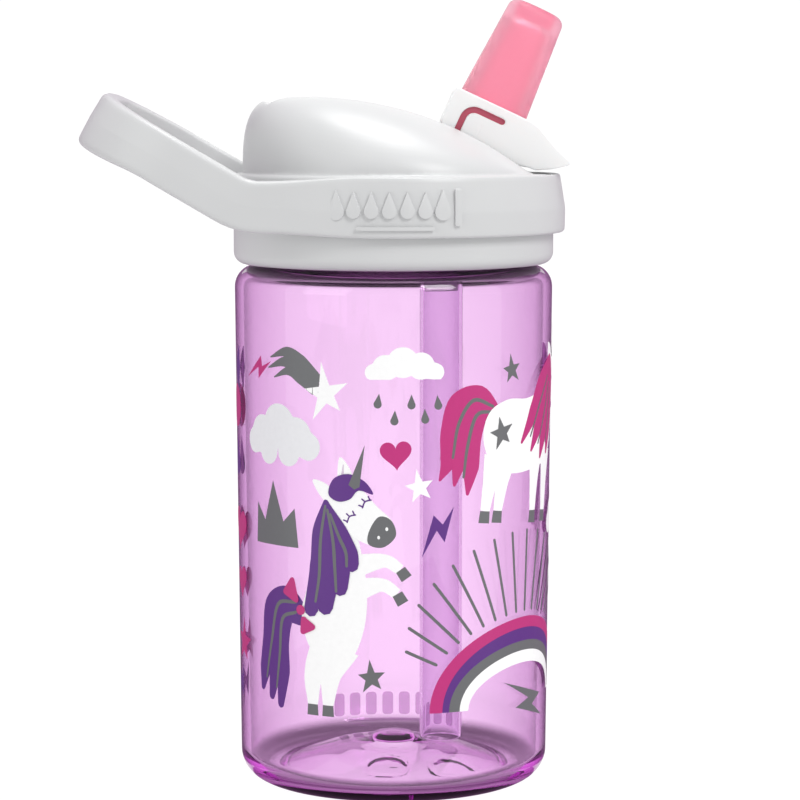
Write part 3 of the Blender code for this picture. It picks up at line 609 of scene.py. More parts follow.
# Bottle -------------------------------------------------------------------------------
def thread_ridges(name, root_r, crest_r, low_z, steps=60):
    """The two ridges of the screw thread, which fade out at their ends."""
    ridges = []
    for start in (0.0, 180.0):
        rings = []
        for i in range(steps + 1):
            turn = 225.0 * i / steps
            angle = math.radians(start + turn)
            z = low_z + THREAD_LEAD * turn / 360
            grown = min(1.0, (i + 0.2) / 6, (steps - i + 0.2) / 6)
            top = root_r + (crest_r - root_r) * grown
            section = ((root_r, -0.85), (top, -0.45), (top, 0.45), (root_r, 0.85))
            rings.append([(r * math.cos(angle), r * math.sin(angle), z + dz) for r, dz in section])
        ridges.append(loft(f"{name}_{start:.0f}", rings))
    return ridges


def arc(centre_r, centre_z, radius, start, end, count):
    """Points on an arc from one angle to another, in degrees."""
    points = []
    for i in range(count + 1):
        turn = math.radians(start + (end - start) * i / count)
        points.append((centre_r + radius * math.cos(turn), centre_z + radius * math.sin(turn)))
    return points


PUNT_MARKS = ((-1.5, -16.0, 4.6), (13.5, -15.0, 5.2), (-16.0, 10.0, 4.6))  # x, y, ring radius


def bottle_shell():
    """The clear body: a wall of even thickness with a raised, ringed base and threads."""
    foot_r = FOOT_R - FOOT_FILLET
    inner_fillet = FOOT_FILLET - WALL
    crown_r = SHOULDER_R - SHOULDER_FILLET
    crown_z = SHOULDER_Z - SHOULDER_FILLET
    inside = [(0.0, 9.6), (2.5, 9.6), (4.4, 9.35), (5.5, 8.3), (7.0, 7.6), (11.0, 7.1)]
    inside += [(16.0, 6.2), (21.0, 4.7), (25.5, FOOT_THICK + 0.1)]
    outside = [(26.6, 0.0), (25.2, 0.7), (20.5, 2.4), (15.5, 4.0), (10.5, 4.9), (6.8, 5.4)]
    outside += [(5.0, 6.1), (3.9, 7.2), (2.3, 7.4), (0.0, 7.4)]
    profile = [tuple(p) for p in spline(inside, per=5)]
    profile += arc(foot_r, FOOT_THICK + inner_fillet, inner_fillet, -90, 0, 10)
    profile += arc(crown_r, crown_z, SHOULDER_FILLET - WALL, 0, 90, 8)
    profile += rounded(
        [
            (NECK_IN_R + 2.5, SHOULDER_Z - WALL, 0),
            (NECK_IN_R, SHOULDER_Z - WALL, 1.5),
            (NECK_IN_R, NECK_TOP_Z, 0.5),
            (NECK_OUT_R, NECK_TOP_Z, 0.5),
            (NECK_OUT_R, SHOULDER_Z, 0.8),
            (NECK_OUT_R + 1.5, SHOULDER_Z, 0),
        ],
        segments=4,
    )
    profile += arc(crown_r, crown_z, SHOULDER_FILLET, 90, 0, 12)
    profile += arc(foot_r, FOOT_FILLET, FOOT_FILLET, 0, -90, 14)
    profile += [tuple(p) for p in spline(outside, per=5)]
    profile[-1] = (0.0, profile[-1][1])
    profile[0] = (0.0, profile[0][1])
    shell = revolve("bottle_shell", profile, steps=224)
    for vertex in shell.data.vertices:
        x, y, z = vertex.co.x / MM - AXIS, vertex.co.y / MM, vertex.co.z / MM
        r = math.hypot(x, y)
        under = z < 7.45 and r < 25 and z < 7.5 - 0.28 * max(0.0, r - 4)
        if not under:
            continue
        for mark_x, mark_y, ring_r in PUNT_MARKS:
            away = math.hypot(x - mark_x, y - mark_y)
            vertex.co.z -= MARK_HEIGHT * MM * math.exp(-(((away - ring_r) / MARK_WIDTH) ** 2))
    ridges = thread_ridges("neck_ridge", NECK_OUT_R - 0.4, NECK_OUT_R + THREAD_H, THREAD_LOW_Z)
    join(shell, *ridges)
    return finish_piece(shell, BOTTLE_CLEAR, "bottle", "tinted_copolyester", "bottle_body", angle=30)


# Print: flat shapes in millimetres, (along, up), wrapped round the bottle ---------------
def bottle_r(z):
    """The bottle's outer radius at a height on its straight wall."""
    low, high = FOOT_FILLET, SHOULDER_Z - SHOULDER_FILLET
    return FOOT_R + (SHOULDER_R - FOOT_R) * (z - low) / (high - low)


def band_r(z):
    """The handle band's outer radius at a height."""
    share = (z - BAND_LOW_Z) / (BAND_TOP_Z - BAND_LOW_Z)
    return BAND_R + 0.05 - 0.95 * max(0.0, share - 0.3) ** 2 / 0.49


def wrap(name, shapes, materials, radius_at, lift=0.03, step=0.006, thick=0.03, turn=0.0):
    """Thin solids of (outline, material index) wrapped on a round wall, later ones on top."""
    bm = bmesh.new()
    for order, (outline, index) in enumerate(shapes):
        part = bmesh.new()
        flat = [Vector((p[0], p[1], 0)) for p in outline]
        verts = [part.verts.new(p) for p in flat]
        for triangle in tessellate_polygon([flat]):
            corners = [verts[i] for i in triangle]
            if len(set(corners)) == 3:
                try:
                    part.faces.new(corners)
                except ValueError:
                    continue
        low = min(p.x for p in flat)
        high = max(p.x for p in flat)
        slices = int((high - low) / 1.6)
        for k in range(1, slices + 1):
            at = low + (high - low) * k / (slices + 1)
            everything = part.verts[:] + part.edges[:] + part.faces[:]
            bmesh.ops.bisect_plane(part, geom=everything, plane_co=(at, 0, 0), plane_no=(1, 0, 0))
        made = bmesh.ops.extrude_face_region(part, geom=part.faces[:])
        raised = [v for v in made["geom"] if isinstance(v, bmesh.types.BMVert)]
        bmesh.ops.translate(part, verts=raised, vec=(0, 0, thick))
        bmesh.ops.recalc_face_normals(part, faces=part.faces)
        copied = {}
        for v in part.verts:
            along, up, out = v.co
            angle = along / radius_at(60.0 if up < 120 else up) + turn
            r = radius_at(up) + lift + step * order + out
            copied[v] = bm.verts.new(
                ((AXIS + r * math.sin(angle)) * MM, -r * math.cos(angle) * MM, up * MM)
            )
        for f in part.faces:
            face = bm.faces.new([copied[v] for v in f.verts])
            face.material_index = index
        part.free()
    bmesh.ops.recalc_face_normals(bm, faces=bm.faces)
    mesh = bpy.data.meshes.new(name)
    bm.to_mesh(mesh)
    bm.free()
    for material in materials:
        mesh.materials.append(material)
    obj = bpy.data.objects.new(name, mesh)
    scene.collection.objects.link(obj)
    shade(obj, 30)
    return obj


def moved(outline, along=0.0, up=0.0, turn=0.0, scale=1.0):
    """An outline scaled, turned by some degrees, then moved."""
    c, s = math.cos(math.radians(turn)) * scale, math.sin(math.radians(turn)) * scale
    return [(along + p[0] * c - p[1] * s, up + p[0] * s + p[1] * c) for p in outline]


def star(spikes=(1, 1, 1, 1, 1), waist=0.42):
    """A five-pointed star of radius 1, each spike with its own length."""
    points = []
    for i, length in enumerate(spikes):
        turn = math.radians(90 + 72 * i)
        points.append((length * math.cos(turn), length * math.sin(turn)))
        turn += math.radians(36)
        points.append((waist * math.cos(turn), waist * math.sin(turn)))
    return points


def heart(count=48):
    """A heart about 2 wide and 2 high."""
    points = []
    for i in range(count):
        t = 2 * math.pi * i / count
        x = math.sin(t) ** 3
        y = (13 * math.cos(t) - 5 * math.cos(2 * t) - 2 * math.cos(3 * t) - math.cos(4 * t)) / 15.5
        points.append((x, y))
    return points


def drop(count=24):
    """A drop 2 high with its point up."""
    points = [(0.0, 1.15)]
    for i in range(count + 1):
        turn = math.radians(28 - 236 * i / count)
        points.append((0.58 * math.cos(turn), -0.42 + 0.58 * math.sin(turn)))
    return points


def disc(radius_a=1.0, radius_b=1.0, count=28):
    """An ellipse about its middle."""
    return [
        (radius_a * math.cos(2 * math.pi * i / count), radius_b * math.sin(2 * math.pi * i / count))
        for i in range(count)
    ]


def plate(left, low, right, high, fillet):
    """A rectangle with rounded corners."""
    corners = [(left, low), (right, low), (right, high), (left, high)]
    return rounded([(*corner, fillet) for corner in corners], closed=True)


def puffs(circles, count=96, floor=None):
    """The outline round a cluster of circles (along, up, radius) about its middle."""
    points = []
    for i in range(count):
        turn = 2 * math.pi * i / count
        way = Vector((math.cos(turn), math.sin(turn)))
        reach = 0.1
        for along, up, radius in circles:
            centre = Vector((along, up))
            near = centre.dot(way)
            miss = radius**2 - (centre - way * near).length_squared
            if miss > 0:
                reach = max(reach, near + math.sqrt(miss))
        p = way * reach
        points.append((p.x, max(p.y, floor) if floor is not None else p.y))
    return points


def stroke(path, widths, per=6, rounding=4):
    """A ribbon along a smooth path whose width changes from point to point."""
    curve = spline(path, per=per) if len(path) > 2 else [Vector(p) for p in path]
    last = len(curve) - 1
    left, right = [], []
    for i, p in enumerate(curve):
        along = (curve[min(i + 1, last)] - curve[max(i - 1, 0)]).normalized()
        side = Vector((-along.y, along.x))
        place = i / last * (len(widths) - 1)
        k = min(int(place), len(widths) - 2) if len(widths) > 1 else 0
        width = widths[k] + (widths[k + 1] - widths[k]) * (place - k) if len(widths) > 1 else widths[0]
        left.append(p + side * width / 2)
        right.append(p - side * width / 2)
    out = list(left)
    if rounding and widths[-1] > 0.05:
        along = (curve[last] - curve[last - 1]).normalized()
        side = Vector((-along.y, along.x))
        for k in range(1, rounding):
            turn = math.pi * k / rounding
            out.append(curve[last] + (side * math.cos(turn) + along * math.sin(turn)) * widths[-1] / 2)
    out += reversed(right)
    if rounding and widths[0] > 0.05:
        along = (curve[0] - curve[1]).normalized()
        side = Vector((-along.y, along.x))
        for k in range(1, rounding):
            turn = math.pi * k / rounding
            out.append(curve[0] + (side * math.cos(turn) + along * math.sin(turn)) * widths[0] / 2)
    return [(p.x, p.y) for p in out]


BOLT = [(0.66, 1.0), (0.2, 0.32), (-0.18, 0.7), (-0.66, -1.0), (-0.05, 0.08), (0.28, -0.4)]
WHITE_INK, CLOUD_INK, GREY_INK, MAGENTA_INK, PURPLE_INK, PALE_INK = range(6)
INKS = (INK_WHITE, INK_CLOUD, INK_GREY, INK_MAGENTA, INK_PURPLE, INK_PALE)


def printed(name, shapes, turn=0.0):
    """Ink on the bottle's wall, which moves with the bottle."""
    obj = wrap(name, shapes, INKS, bottle_r, turn=turn)
    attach(obj, "bottle")
    return obj


def blob(points, per=6):
    """A closed outline that runs smoothly through the points."""
    return [tuple(p) for p in spline(points, closed=True, per=per)]


def ribbons(colour, *lines):
    """Ribbons of one ink, each given as its path and its widths."""
    return [(stroke(path, widths), colour) for path, widths in lines]


def leg(path, toe, widths, hoof_width):
    """A white leg along a path, with a grey hoof from its ankle to its toe."""
    hoof = stroke([path[-1], toe], [hoof_width, hoof_width * 1.12], rounding=0)
    return [(stroke(path, widths, rounding=0), WHITE_INK), (hoof, GREY_INK)]


def rearing_unicorn():
    """A plain unicorn on its hind legs, facing right."""
    shapes = ribbons(
        PURPLE_INK,
        (
            [(-21.5, 43.0), (-26.0, 46.2), (-31.0, 43.5), (-32.5, 36.0), (-34.0, 29.0), (-35.0, 24.5)],
            [3.4, 5.0, 5.4, 4.6, 4.2, 1.6],
        ),
        (
            [(-21.5, 42.5), (-26.5, 44.5), (-29.8, 39.0), (-30.0, 31.0), (-31.5, 23.0)],
            [3.4, 5.0, 5.2, 5.0, 2.0],
        ),
        (
            [(-21.5, 41.5), (-26.0, 42.0), (-27.8, 36.0), (-27.6, 29.0), (-28.4, 21.5)],
            [3.0, 4.2, 4.4, 4.2, 2.0],
        ),
    )
    streak = [0.7, 0.9, 0.8, 0.5]
    shapes += ribbons(
        GREY_INK,
        ([(-23.5, 45.3), (-29.0, 44.2), (-31.3, 36.0), (-33.4, 27.0)], streak),
        ([(-23.5, 43.0), (-27.6, 41.0), (-28.6, 33.0), (-29.8, 25.0)], streak),
    )
    hind = [9.0, 5.0, 2.6]
    shapes += leg([(-15.0, 36.0), (-18.7, 29.5), (-19.0, 22.6)], (-19.0, 20.1), hind, 2.6)
    shapes += leg([(-12.0, 36.0), (-14.4, 29.5), (-15.1, 22.6)], (-15.1, 20.1), hind, 2.6)
    body = [(-21.8, 43.0), (-20.0, 36.0), (-15.0, 31.5), (-9.5, 33.5), (-6.6, 40.0), (-5.8, 48.0)]
    body += [(-6.8, 56.0), (-8.6, 62.0), (-14.0, 67.5), (-18.5, 62.0), (-19.0, 54.0), (-20.5, 48.0)]
    shapes.append((blob(body), WHITE_INK))
    fore = [5.2, 3.0, 2.4]
    shapes += leg([(-8.5, 54.5), (-2.0, 55.8), (1.6, 53.8)], (3.0, 51.8), fore, 2.4)
    shapes += leg([(-8.5, 49.0), (-2.6, 50.4), (0.9, 48.4)], (2.2, 46.2), fore, 2.4)
    ears = (
        [(-15.6, 68.8), (-18.6, 73.2), (-15.2, 72.6), (-13.2, 70.2)],
        [(-12.2, 72.0), (-12.0, 78.6), (-9.4, 75.8), (-9.0, 72.2)],
    )
    shapes += [(blob(ear, 8), WHITE_INK) for ear in ears]
    shapes.append((stroke([(-11.4, 73.6), (-11.1, 77.0)], [0.9, 0.2], rounding=3), PALE_INK))
    head = [(-15.2, 70.6), (-11.0, 73.0), (-7.0, 71.6), (-3.6, 68.0), (-0.2, 64.6)]
    head += [(0.4, 61.0), (-2.6, 58.9), (-6.6, 59.8), (-10.5, 62.0), (-14.4, 65.0)]
    shapes.append((blob(head), WHITE_INK))
    muzzle = [(-3.2, 65.6), (-0.4, 64.8), (0.6, 61.4), (-2.2, 58.8), (-5.4, 59.4), (-5.4, 62.2)]
    shapes.append((blob(muzzle), GREY_INK))
    shapes.append((moved(disc(0.32, 0.42, 16), -1.4, 62.9), WHITE_INK))
    shapes.append((moved(disc(0.3, 0.4, 16), -3.2, 61.0), WHITE_INK))
    lid = [(-1.3, -0.4), (0.0, 0.3), (1.3, -0.2)]
    lashes = [[(-1.1, -0.3), (-1.6, 0.5)], [(0.0, 0.3), (-0.2, 1.2)], [(1.1, -0.1), (1.3, 0.8)]]
    for along, up in ((-9.5, 65.3), (-6.0, 68.7)):
        for path in (lid, *lashes):
            line = stroke(path, [0.32, 0.32], rounding=3)
            shapes.append((moved(line, along, up, 38), PURPLE_INK))
    shapes += ribbons(
        PURPLE_INK,
        ([(-15.4, 68.6), (-17.0, 62.0), (-17.2, 54.0), (-19.2, 44.2)], [0.9, 3.2, 4.4, 3.6]),
        ([(-15.2, 68.6), (-14.8, 61.0), (-14.4, 53.0), (-15.6, 45.0)], [0.9, 3.6, 4.8, 3.8]),
        ([(-15.0, 68.4), (-12.9, 61.5), (-11.8, 55.0), (-12.0, 49.4)], [0.9, 3.4, 4.6, 3.6]),
        ([(-14.8, 68.0), (-11.8, 62.5), (-9.8, 57.5), (-9.3, 54.8)], [0.9, 2.8, 3.8, 3.4]),
    )
    streak = [0.6, 0.8, 0.6]
    shapes += ribbons(
        GREY_INK,
        ([(-15.4, 67.6), (-16.6, 60.0), (-17.0, 52.0), (-18.0, 46.0)], streak),
        ([(-14.9, 66.8), (-13.6, 60.0), (-13.2, 54.0), (-12.9, 48.6)], streak),
        ([(-14.2, 65.8), (-12.2, 61.0), (-10.6, 57.5), (-10.4, 54.4)], streak),
    )
    forelock = [(-14.6, 70.4), (-13.4, 73.8), (-9.8, 75.0), (-6.2, 73.4)]
    forelock += [(-4.4, 70.6), (-7.6, 71.4), (-9.6, 69.4), (-12.4, 68.8)]
    shapes.append((blob(forelock), PURPLE_INK))
    shapes.append(([(-9.9, 72.6), (-8.6, 71.6), (-7.4, 72.2), (-6.2, 81.6)], GREY_INK))
    bow = [[(-22.2, 44.6), (-27.4, 47.2), (-24.0, 51.8)], [(-21.8, 42.8), (-17.4, 40.0), (-22.2, 37.8)]]
    for loop in bow:
        shapes.append((rounded([(*p, 0.7) for p in loop], closed=True, segments=4), MAGENTA_INK))
    shapes.append((moved(disc(1.15, 1.15), -22.0, 43.7), MAGENTA_INK))
    return shapes


def standing_unicorn():
    """A plain unicorn on four legs, facing right round the bottle's side."""
    shapes = ribbons(
        MAGENTA_INK,
        (
            [(24.5, 88.0), (20.0, 92.0), (14.8, 90.5), (12.8, 84.0), (12.4, 78.0), (10.4, 73.6)],
            [3.0, 4.4, 5.0, 4.6, 4.0, 0.6],
        ),
        (
            [(24.5, 87.6), (20.0, 90.0), (16.4, 87.0), (15.2, 79.0), (13.8, 72.4)],
            [3.0, 4.4, 4.8, 4.6, 0.8],
        ),
        (
            [(24.5, 87.0), (20.6, 87.8), (18.4, 83.0), (17.8, 76.0), (17.0, 70.2)],
            [2.8, 4.0, 4.4, 4.2, 0.8],
        ),
    )
    streak = [0.7, 0.9, 0.8, 0.6]
    shapes += ribbons(
        GREY_INK,
        ([(23.6, 89.4), (18.4, 91.0), (14.8, 86.0), (13.4, 78.5)], streak),
        ([(23.6, 88.2), (19.2, 87.6), (17.0, 81.0), (16.0, 74.0)], streak),
    )
    for hip, ankle, toe in (
        ((24.5, 78.0), (21.6, 66.0), (21.3, 63.3)),
        ((28.0, 78.0), (25.2, 65.8), (24.9, 63.1)),
        ((39.5, 78.0), (37.9, 64.6), (37.6, 61.8)),
        ((45.5, 78.0), (43.7, 64.0), (43.4, 61.4)),
    ):
        knee = ((hip[0] + ankle[0]) / 2 - 0.2, (hip[1] + ankle[1]) / 2)
        shapes += leg([hip, knee, ankle], toe, [6.5, 3.8, 2.5], 2.6)
    body = [(21.0, 82.0), (22.6, 88.0), (28.0, 90.6), (35.0, 90.4), (41.0, 91.8), (45.6, 95.6)]
    body += [(50.5, 96.0), (51.5, 88.0), (49.5, 80.0), (45.0, 75.6), (38.0, 74.2), (30.0, 73.8)]
    body.append((24.0, 75.4))
    shapes.append((blob(body), WHITE_INK))
    head = [(46.0, 96.5), (50.0, 99.5), (54.0, 97.5), (58.5, 92.5)]
    head += [(61.0, 89.0), (59.0, 86.2), (54.5, 87.2), (50.5, 89.6)]
    shapes.append((blob(head), WHITE_INK))
    muzzle = [(57.6, 93.0), (60.8, 90.2), (61.0, 87.2), (57.8, 86.0), (55.8, 88.2)]
    shapes.append((blob(muzzle), GREY_INK))
    shapes.append((stroke([(53.2, 93.8), (54.2, 93.0), (55.4, 93.6)], [0.35, 0.5, 0.35]), PURPLE_INK))
    shapes.append((blob([(47.2, 97.6), (47.0, 102.0), (49.6, 101.0), (50.4, 98.6)], 8), WHITE_INK))
    shapes.append(([(51.6, 98.6), (53.6, 98.2), (57.0, 106.0)], GREY_INK))
    shapes += ribbons(
        MAGENTA_INK,
        ([(48.5, 97.5), (42.5, 93.5), (38.0, 87.0), (33.0, 80.6)], [4.0, 4.6, 4.2, 0.8]),
        ([(49.0, 96.5), (44.5, 91.0), (40.6, 84.0), (37.0, 78.4)], [4.2, 5.0, 4.4, 0.8]),
        ([(49.5, 95.0), (46.5, 89.0), (43.8, 82.0), (41.6, 76.4)], [4.2, 5.0, 4.4, 0.8]),
        ([(50.0, 94.0), (48.8, 88.0), (47.2, 82.0), (45.8, 77.0)], [4.0, 4.6, 4.0, 0.8]),
    )
    streak = [0.5, 0.7, 0.4]
    shapes += ribbons(
        GREY_INK,
        ([(46.5, 94.5), (41.0, 88.5), (36.6, 81.6)], streak),
        ([(47.6, 93.0), (44.0, 86.0), (40.4, 79.6)], streak),
        ([(48.6, 91.5), (47.2, 85.5), (45.2, 79.5)], streak),
    )
    shapes.append((moved(star((1.05, 0.95, 1.1, 0.9, 1.05)), 26.2, 83.2, 12, 3.6), GREY_INK))
    return shapes


RAINBOW = (34.0, 21.2)


def rainbow():
    """Four bands over a flat foot, with rays round them and a bolt inside."""
    along, foot = RAINBOW
    shapes = []
    edges = ((25.8, 19.4), (22.8, 16.9), (21.2, 13.9), (18.6, 11.7), (16.4, 8.9))
    for index, outer, inner in zip((MAGENTA_INK, PURPLE_INK, GREY_INK, WHITE_INK), edges, edges[1:]):
        outline = []
        for wide, tall, order in ((*outer, 1), (*inner, -1)):
            for k in range(49)[::order]:
                turn = math.pi * k / 48
                outline.append((along + wide * math.cos(turn), foot + tall * math.sin(turn)))
        shapes.append((outline, index))
    for k in range(14):
        angle = 155 - 9.6 * k + 0.15 * k * k
        turn = math.radians(angle)
        around = math.radians(90 + (angle - 90) * 0.9)
        start = Vector((along + 28.5 * math.cos(around), foot + 21.0 * math.sin(around)))
        end = start + Vector((math.cos(turn), math.sin(turn))) * (18.2 - 0.0027 * (angle - 92) ** 2)
        shapes.append((stroke([tuple(start), tuple(end)], [0.72, 0.72], rounding=4), GREY_INK))
    bolt = [(p[0] * 1.6 + 36.2, p[1] + 21.3) for p in moved(BOLT, turn=-100, scale=6.2)]
    shapes.append((bolt, GREY_INK))
    return shapes


def small_motifs():
    """Stars, hearts, clouds, drops and the like, each near its place in the pattern."""
    trails = (
        ([(-30.6, 100.0), (-25.5, 101.4), (-21.5, 99.4), (-17.4, 96.0)], [0.3, 2.4, 3.2, 2.4]),
        ([(-31.4, 97.6), (-26.0, 99.2), (-21.9, 97.5), (-18.0, 94.6)], [0.3, 2.4, 3.2, 2.6]),
        ([(-29.4, 95.6), (-25.0, 97.2), (-21.6, 95.7), (-18.0, 93.2)], [0.3, 2.0, 2.6, 2.2]),
    )
    cloud = [(-5.6, 0.2, 4.4), (0.0, 2.6, 4.9), (5.2, 0.6, 4.2), (8.4, -1.6, 3.2)]
    cloud += [(-8.8, -1.4, 3.0), (-3.4, -3.4, 3.0), (3.0, -3.2, 3.2)]
    rain_cloud = [(-4.6, 0.0, 2.9), (-0.8, 1.2, 3.4), (3.2, 0.4, 3.0), (6.4, -1.0, 2.0), (-7.2, -1.0, 1.9)]
    crown = [(-36.8, 57.6), (-36.3, 66.8), (-33.3, 63.0), (-30.3, 72.2)]
    crown += [(-27.0, 63.2), (-23.6, 66.4), (-22.6, 57.6)]
    rain = [(-3.3, 91.2, -8), (4.0, 91.0, 0), (9.9, 90.8, 6), (0.3, 87.5, -3), (7.0, 87.8, 3)]
    motifs = {
        "print_bolt_magenta": [(moved(BOLT, -35.4, 97.0, -34, 4.4), MAGENTA_INK)],
        "print_comet": [
            *ribbons(GREY_INK, *trails),
            (moved(star((1.28, 0.95, 1.2, 0.9, 1.05), 0.38), -15.3, 92.6, 8, 5.6), WHITE_INK),
        ],
        "print_rain_cloud": [
            (moved(puffs(rain_cloud, floor=-2.6), 2.9, 98.6), WHITE_INK),
            *((moved(drop(), *place, 1.55), GREY_INK) for place in rain),
        ],
        "print_star_grey_high": [(moved(star((1.2, 0.9, 1.0, 1.1, 0.95)), 29.3, 97.2, 8, 3.1), GREY_INK)],
        "print_cloud": [(moved(puffs(cloud), -28.3, 82.2), CLOUD_INK)],
        "print_heart": [(moved(heart(), 0.6, 79.6, 4, 3.5), MAGENTA_INK)],
        "print_crown": [(crown, GREY_INK)],
        "print_star_white": [(moved(star((1.2, 0.95, 1.05, 1.0, 0.95)), 5.8, 72.1, 10, 3.5), WHITE_INK)],
        "print_bolt_purple": [(moved(BOLT, 10.0, 61.9, 0, 5.6), PURPLE_INK)],
        "print_star_grey_low": [(moved(star((1.2, 0.9, 1.1, 0.95, 0.95)), -4.9, 29.4, 6, 3.5), GREY_INK)],
        "print_cloud_side": [(moved(puffs(cloud), 58.2, 61.4, 0, 0.85), WHITE_INK)],
        "print_edge_motifs": [
            (stroke([(-47.5, 101.0), (-48.5, 96.5), (-48.0, 92.0)], [0.6, 4.2, 0.8]), PURPLE_INK),
            (moved(disc(4.0, 5.0), -50.4, 87.4), MAGENTA_INK),
            (moved(drop(), -50.0, 75.6, 0, 4.2), PURPLE_INK),
            (moved(heart(), -48.4, 59.6, -8, 5.2), MAGENTA_INK),
            (moved(heart(), -47.4, 47.2, 6, 3.9), MAGENTA_INK),
            (moved(star((1.1, 0.95, 1.1, 0.9, 1.0)), -46.0, 33.0, -4, 5.0), MAGENTA_INK),
            (moved(BOLT, -49.5, 22.0, 10, 5.6), PURPLE_INK),
        ],
    }
    for name, shapes in motifs.items():
        printed(name, shapes)


def back_mark():
    """A faint plain row of bars over a line, on the back of the bottle."""
    shapes = [(plate(-9.0, 3.8, 12.0, 4.7, 0.3), PALE_INK)]
    for k in range(8):
        left = -17.0 + k * 4.3
        shapes.append((plate(left, 5.8, left + 2.8, 11.6, 0.9), PALE_INK))
    printed("print_back_mark", shapes, turn=math.pi)


# Cap ----------------------------------------------------------------------------------
def collar():
    """The threaded inner moulding with the straw's nipple and the port under the spout."""
    land_z = NECK_TOP_Z + 2 * GAP + 1.3
    profile = rounded(
        [
            (0, PAN_TOP_Z, 0),
            (PLUG_IN_R, PAN_TOP_Z, 0.6),
            (PLUG_IN_R, COLLAR_DECK_Z, 0.3),
            (COLLAR_SPIGOT_R, COLLAR_DECK_Z, 0.4),
            (COLLAR_SPIGOT_R, COLLAR_STEP_Z, 0.3),
            (COLLAR_R, COLLAR_STEP_Z, 0.3),
            (COLLAR_R, COLLAR_LOW_Z, 4.0),
            (COLLAR_IN_R, COLLAR_LOW_Z, 0.3),
            (COLLAR_IN_R, land_z, 0.3),
            (PLUG_OUT_R, land_z, 0.3),
            (PLUG_OUT_R, PAN_LOW_Z, 0.4),
            (0, PAN_LOW_Z, 0),
        ],
        segments=8,
    )
    body = revolve("cap_collar", profile, steps=192)
    join(
        body,
        *thread_ridges("collar_ridge", COLLAR_IN_R + 0.4, NECK_OUT_R + 0.35, THREAD_LOW_Z - 1.4),
        rod("block_rear", BLOCK_R, (STRAW_X, 0, BLOCK_LOW_Z), (STRAW_X, 0, BLOCK_TOP_Z)),
        rod("block_front", BLOCK_R, (PORT_X, 0, BLOCK_LOW_Z), (PORT_X, 0, BLOCK_TOP_Z)),
        rod("port_boss", PORT_BOSS_R, (PORT_X, 0, BLOCK_TOP_Z), (PORT_X, 0, 132.6)),
        rod("straw_nipple", NIPPLE_R, (STRAW_X, 0, NIPPLE_LOW_Z), (STRAW_X, 0, 126.0)),
    )
    holes = [
        rod("seal_pocket", SEAL_POCKET_R, (PORT_X, 0, 131.2), (PORT_X, 0, 134.0)),
        rod("port_bore", PORT_BORE_R, (PORT_X, 0, 129.0), (PORT_X, 0, 132.0)),
        rod("nipple_bore", NIPPLE_BORE_R, (STRAW_X, 0, 113.0), (STRAW_X, 0, 128.0)),
        rod("port_passage", 2.4, (STRAW_X, 0, 127.4), (PORT_X, 0, 129.6)),
        rod("vent_stem_hole", VENT_STEM_R, (VENT_X, 0, 128.0), (VENT_X, 0, 132.0), 24),
    ]
    for k in range(4):
        turn = math.pi * (2 * k + 1) / 4
        x = VENT_X + VENT_RING_R * math.cos(turn)
        y = VENT_RING_R * math.sin(turn)
        holes.append(rod(f"vent_hole_{k}", VENT_HOLE_R, (x, y, 128.0), (x, y, 132.0), 16))
    cut(body, *holes)
    return finish_piece(body, WHITE_PP, "cap", "white_polypropylene", "threaded_collar", angle=30)


def dome_height(x):
    """The height of the dome's ridge, which falls away towards the spout."""
    forward = max(0.0, x + 22.0)
    return DOME_TOP_Z - 0.002815 * forward**2.19


def channel_floor(x):
    """The height of the sloping floor that the folded spout lies over."""
    return PIVOT.z - 10.3 / math.cos(CLOSED_RISE) + (PIVOT.x - x) * math.tan(CLOSED_RISE)


def dome(name, shrink, low_z, count=128, levels=20):
    """The dome: rings from a round foot up to a long ridge, all under dome_height."""
    rings = []
    for level in range(levels + 1):
        tau = math.pi / 2 * level / levels
        ring = []
        for i in range(count):
            phi = 2 * math.pi * i / count
            c, s = math.cos(phi), math.sin(phi)
            power = 1.75 + 1.35 * max(0.0, -c) ** 2
            inward = 1 - math.cos(tau) ** (2 / power)
            upward = math.sin(tau) ** (2 / power)
            foot = Vector((DOME_R * c, DOME_R * s))
            ridge = Vector((RIDGE_FRONT * c, RIDGE_HALF_W * s))
            if c < 0:
                half_width = RIDGE_HALF_W * math.copysign(abs(s) ** 0.6, s)
                ridge = Vector((-RIDGE_REAR * abs(c) ** 0.6, half_width))
            plan = foot.lerp(ridge, inward)
            plan -= plan.normalized() * shrink
            z = DECK_Z + max(0.05, dome_height(plan.x) - shrink - DECK_Z) * upward
            ring.append((plan.x, plan.y, z))
        rings.append(ring)
    bottom = [(x, y, low_z) for x, y, _ in rings[0]]
    for scale in (0.75, 0.5, 0.25, 0.05):
        ring = []
        for x, y, _ in rings[levels]:
            z = max(DECK_Z + 0.05, dome_height(x * scale) - shrink)
            ring.append((x * scale, y * scale, z))
        rings.append(ring)
    return loft(name, [bottom, *rings])


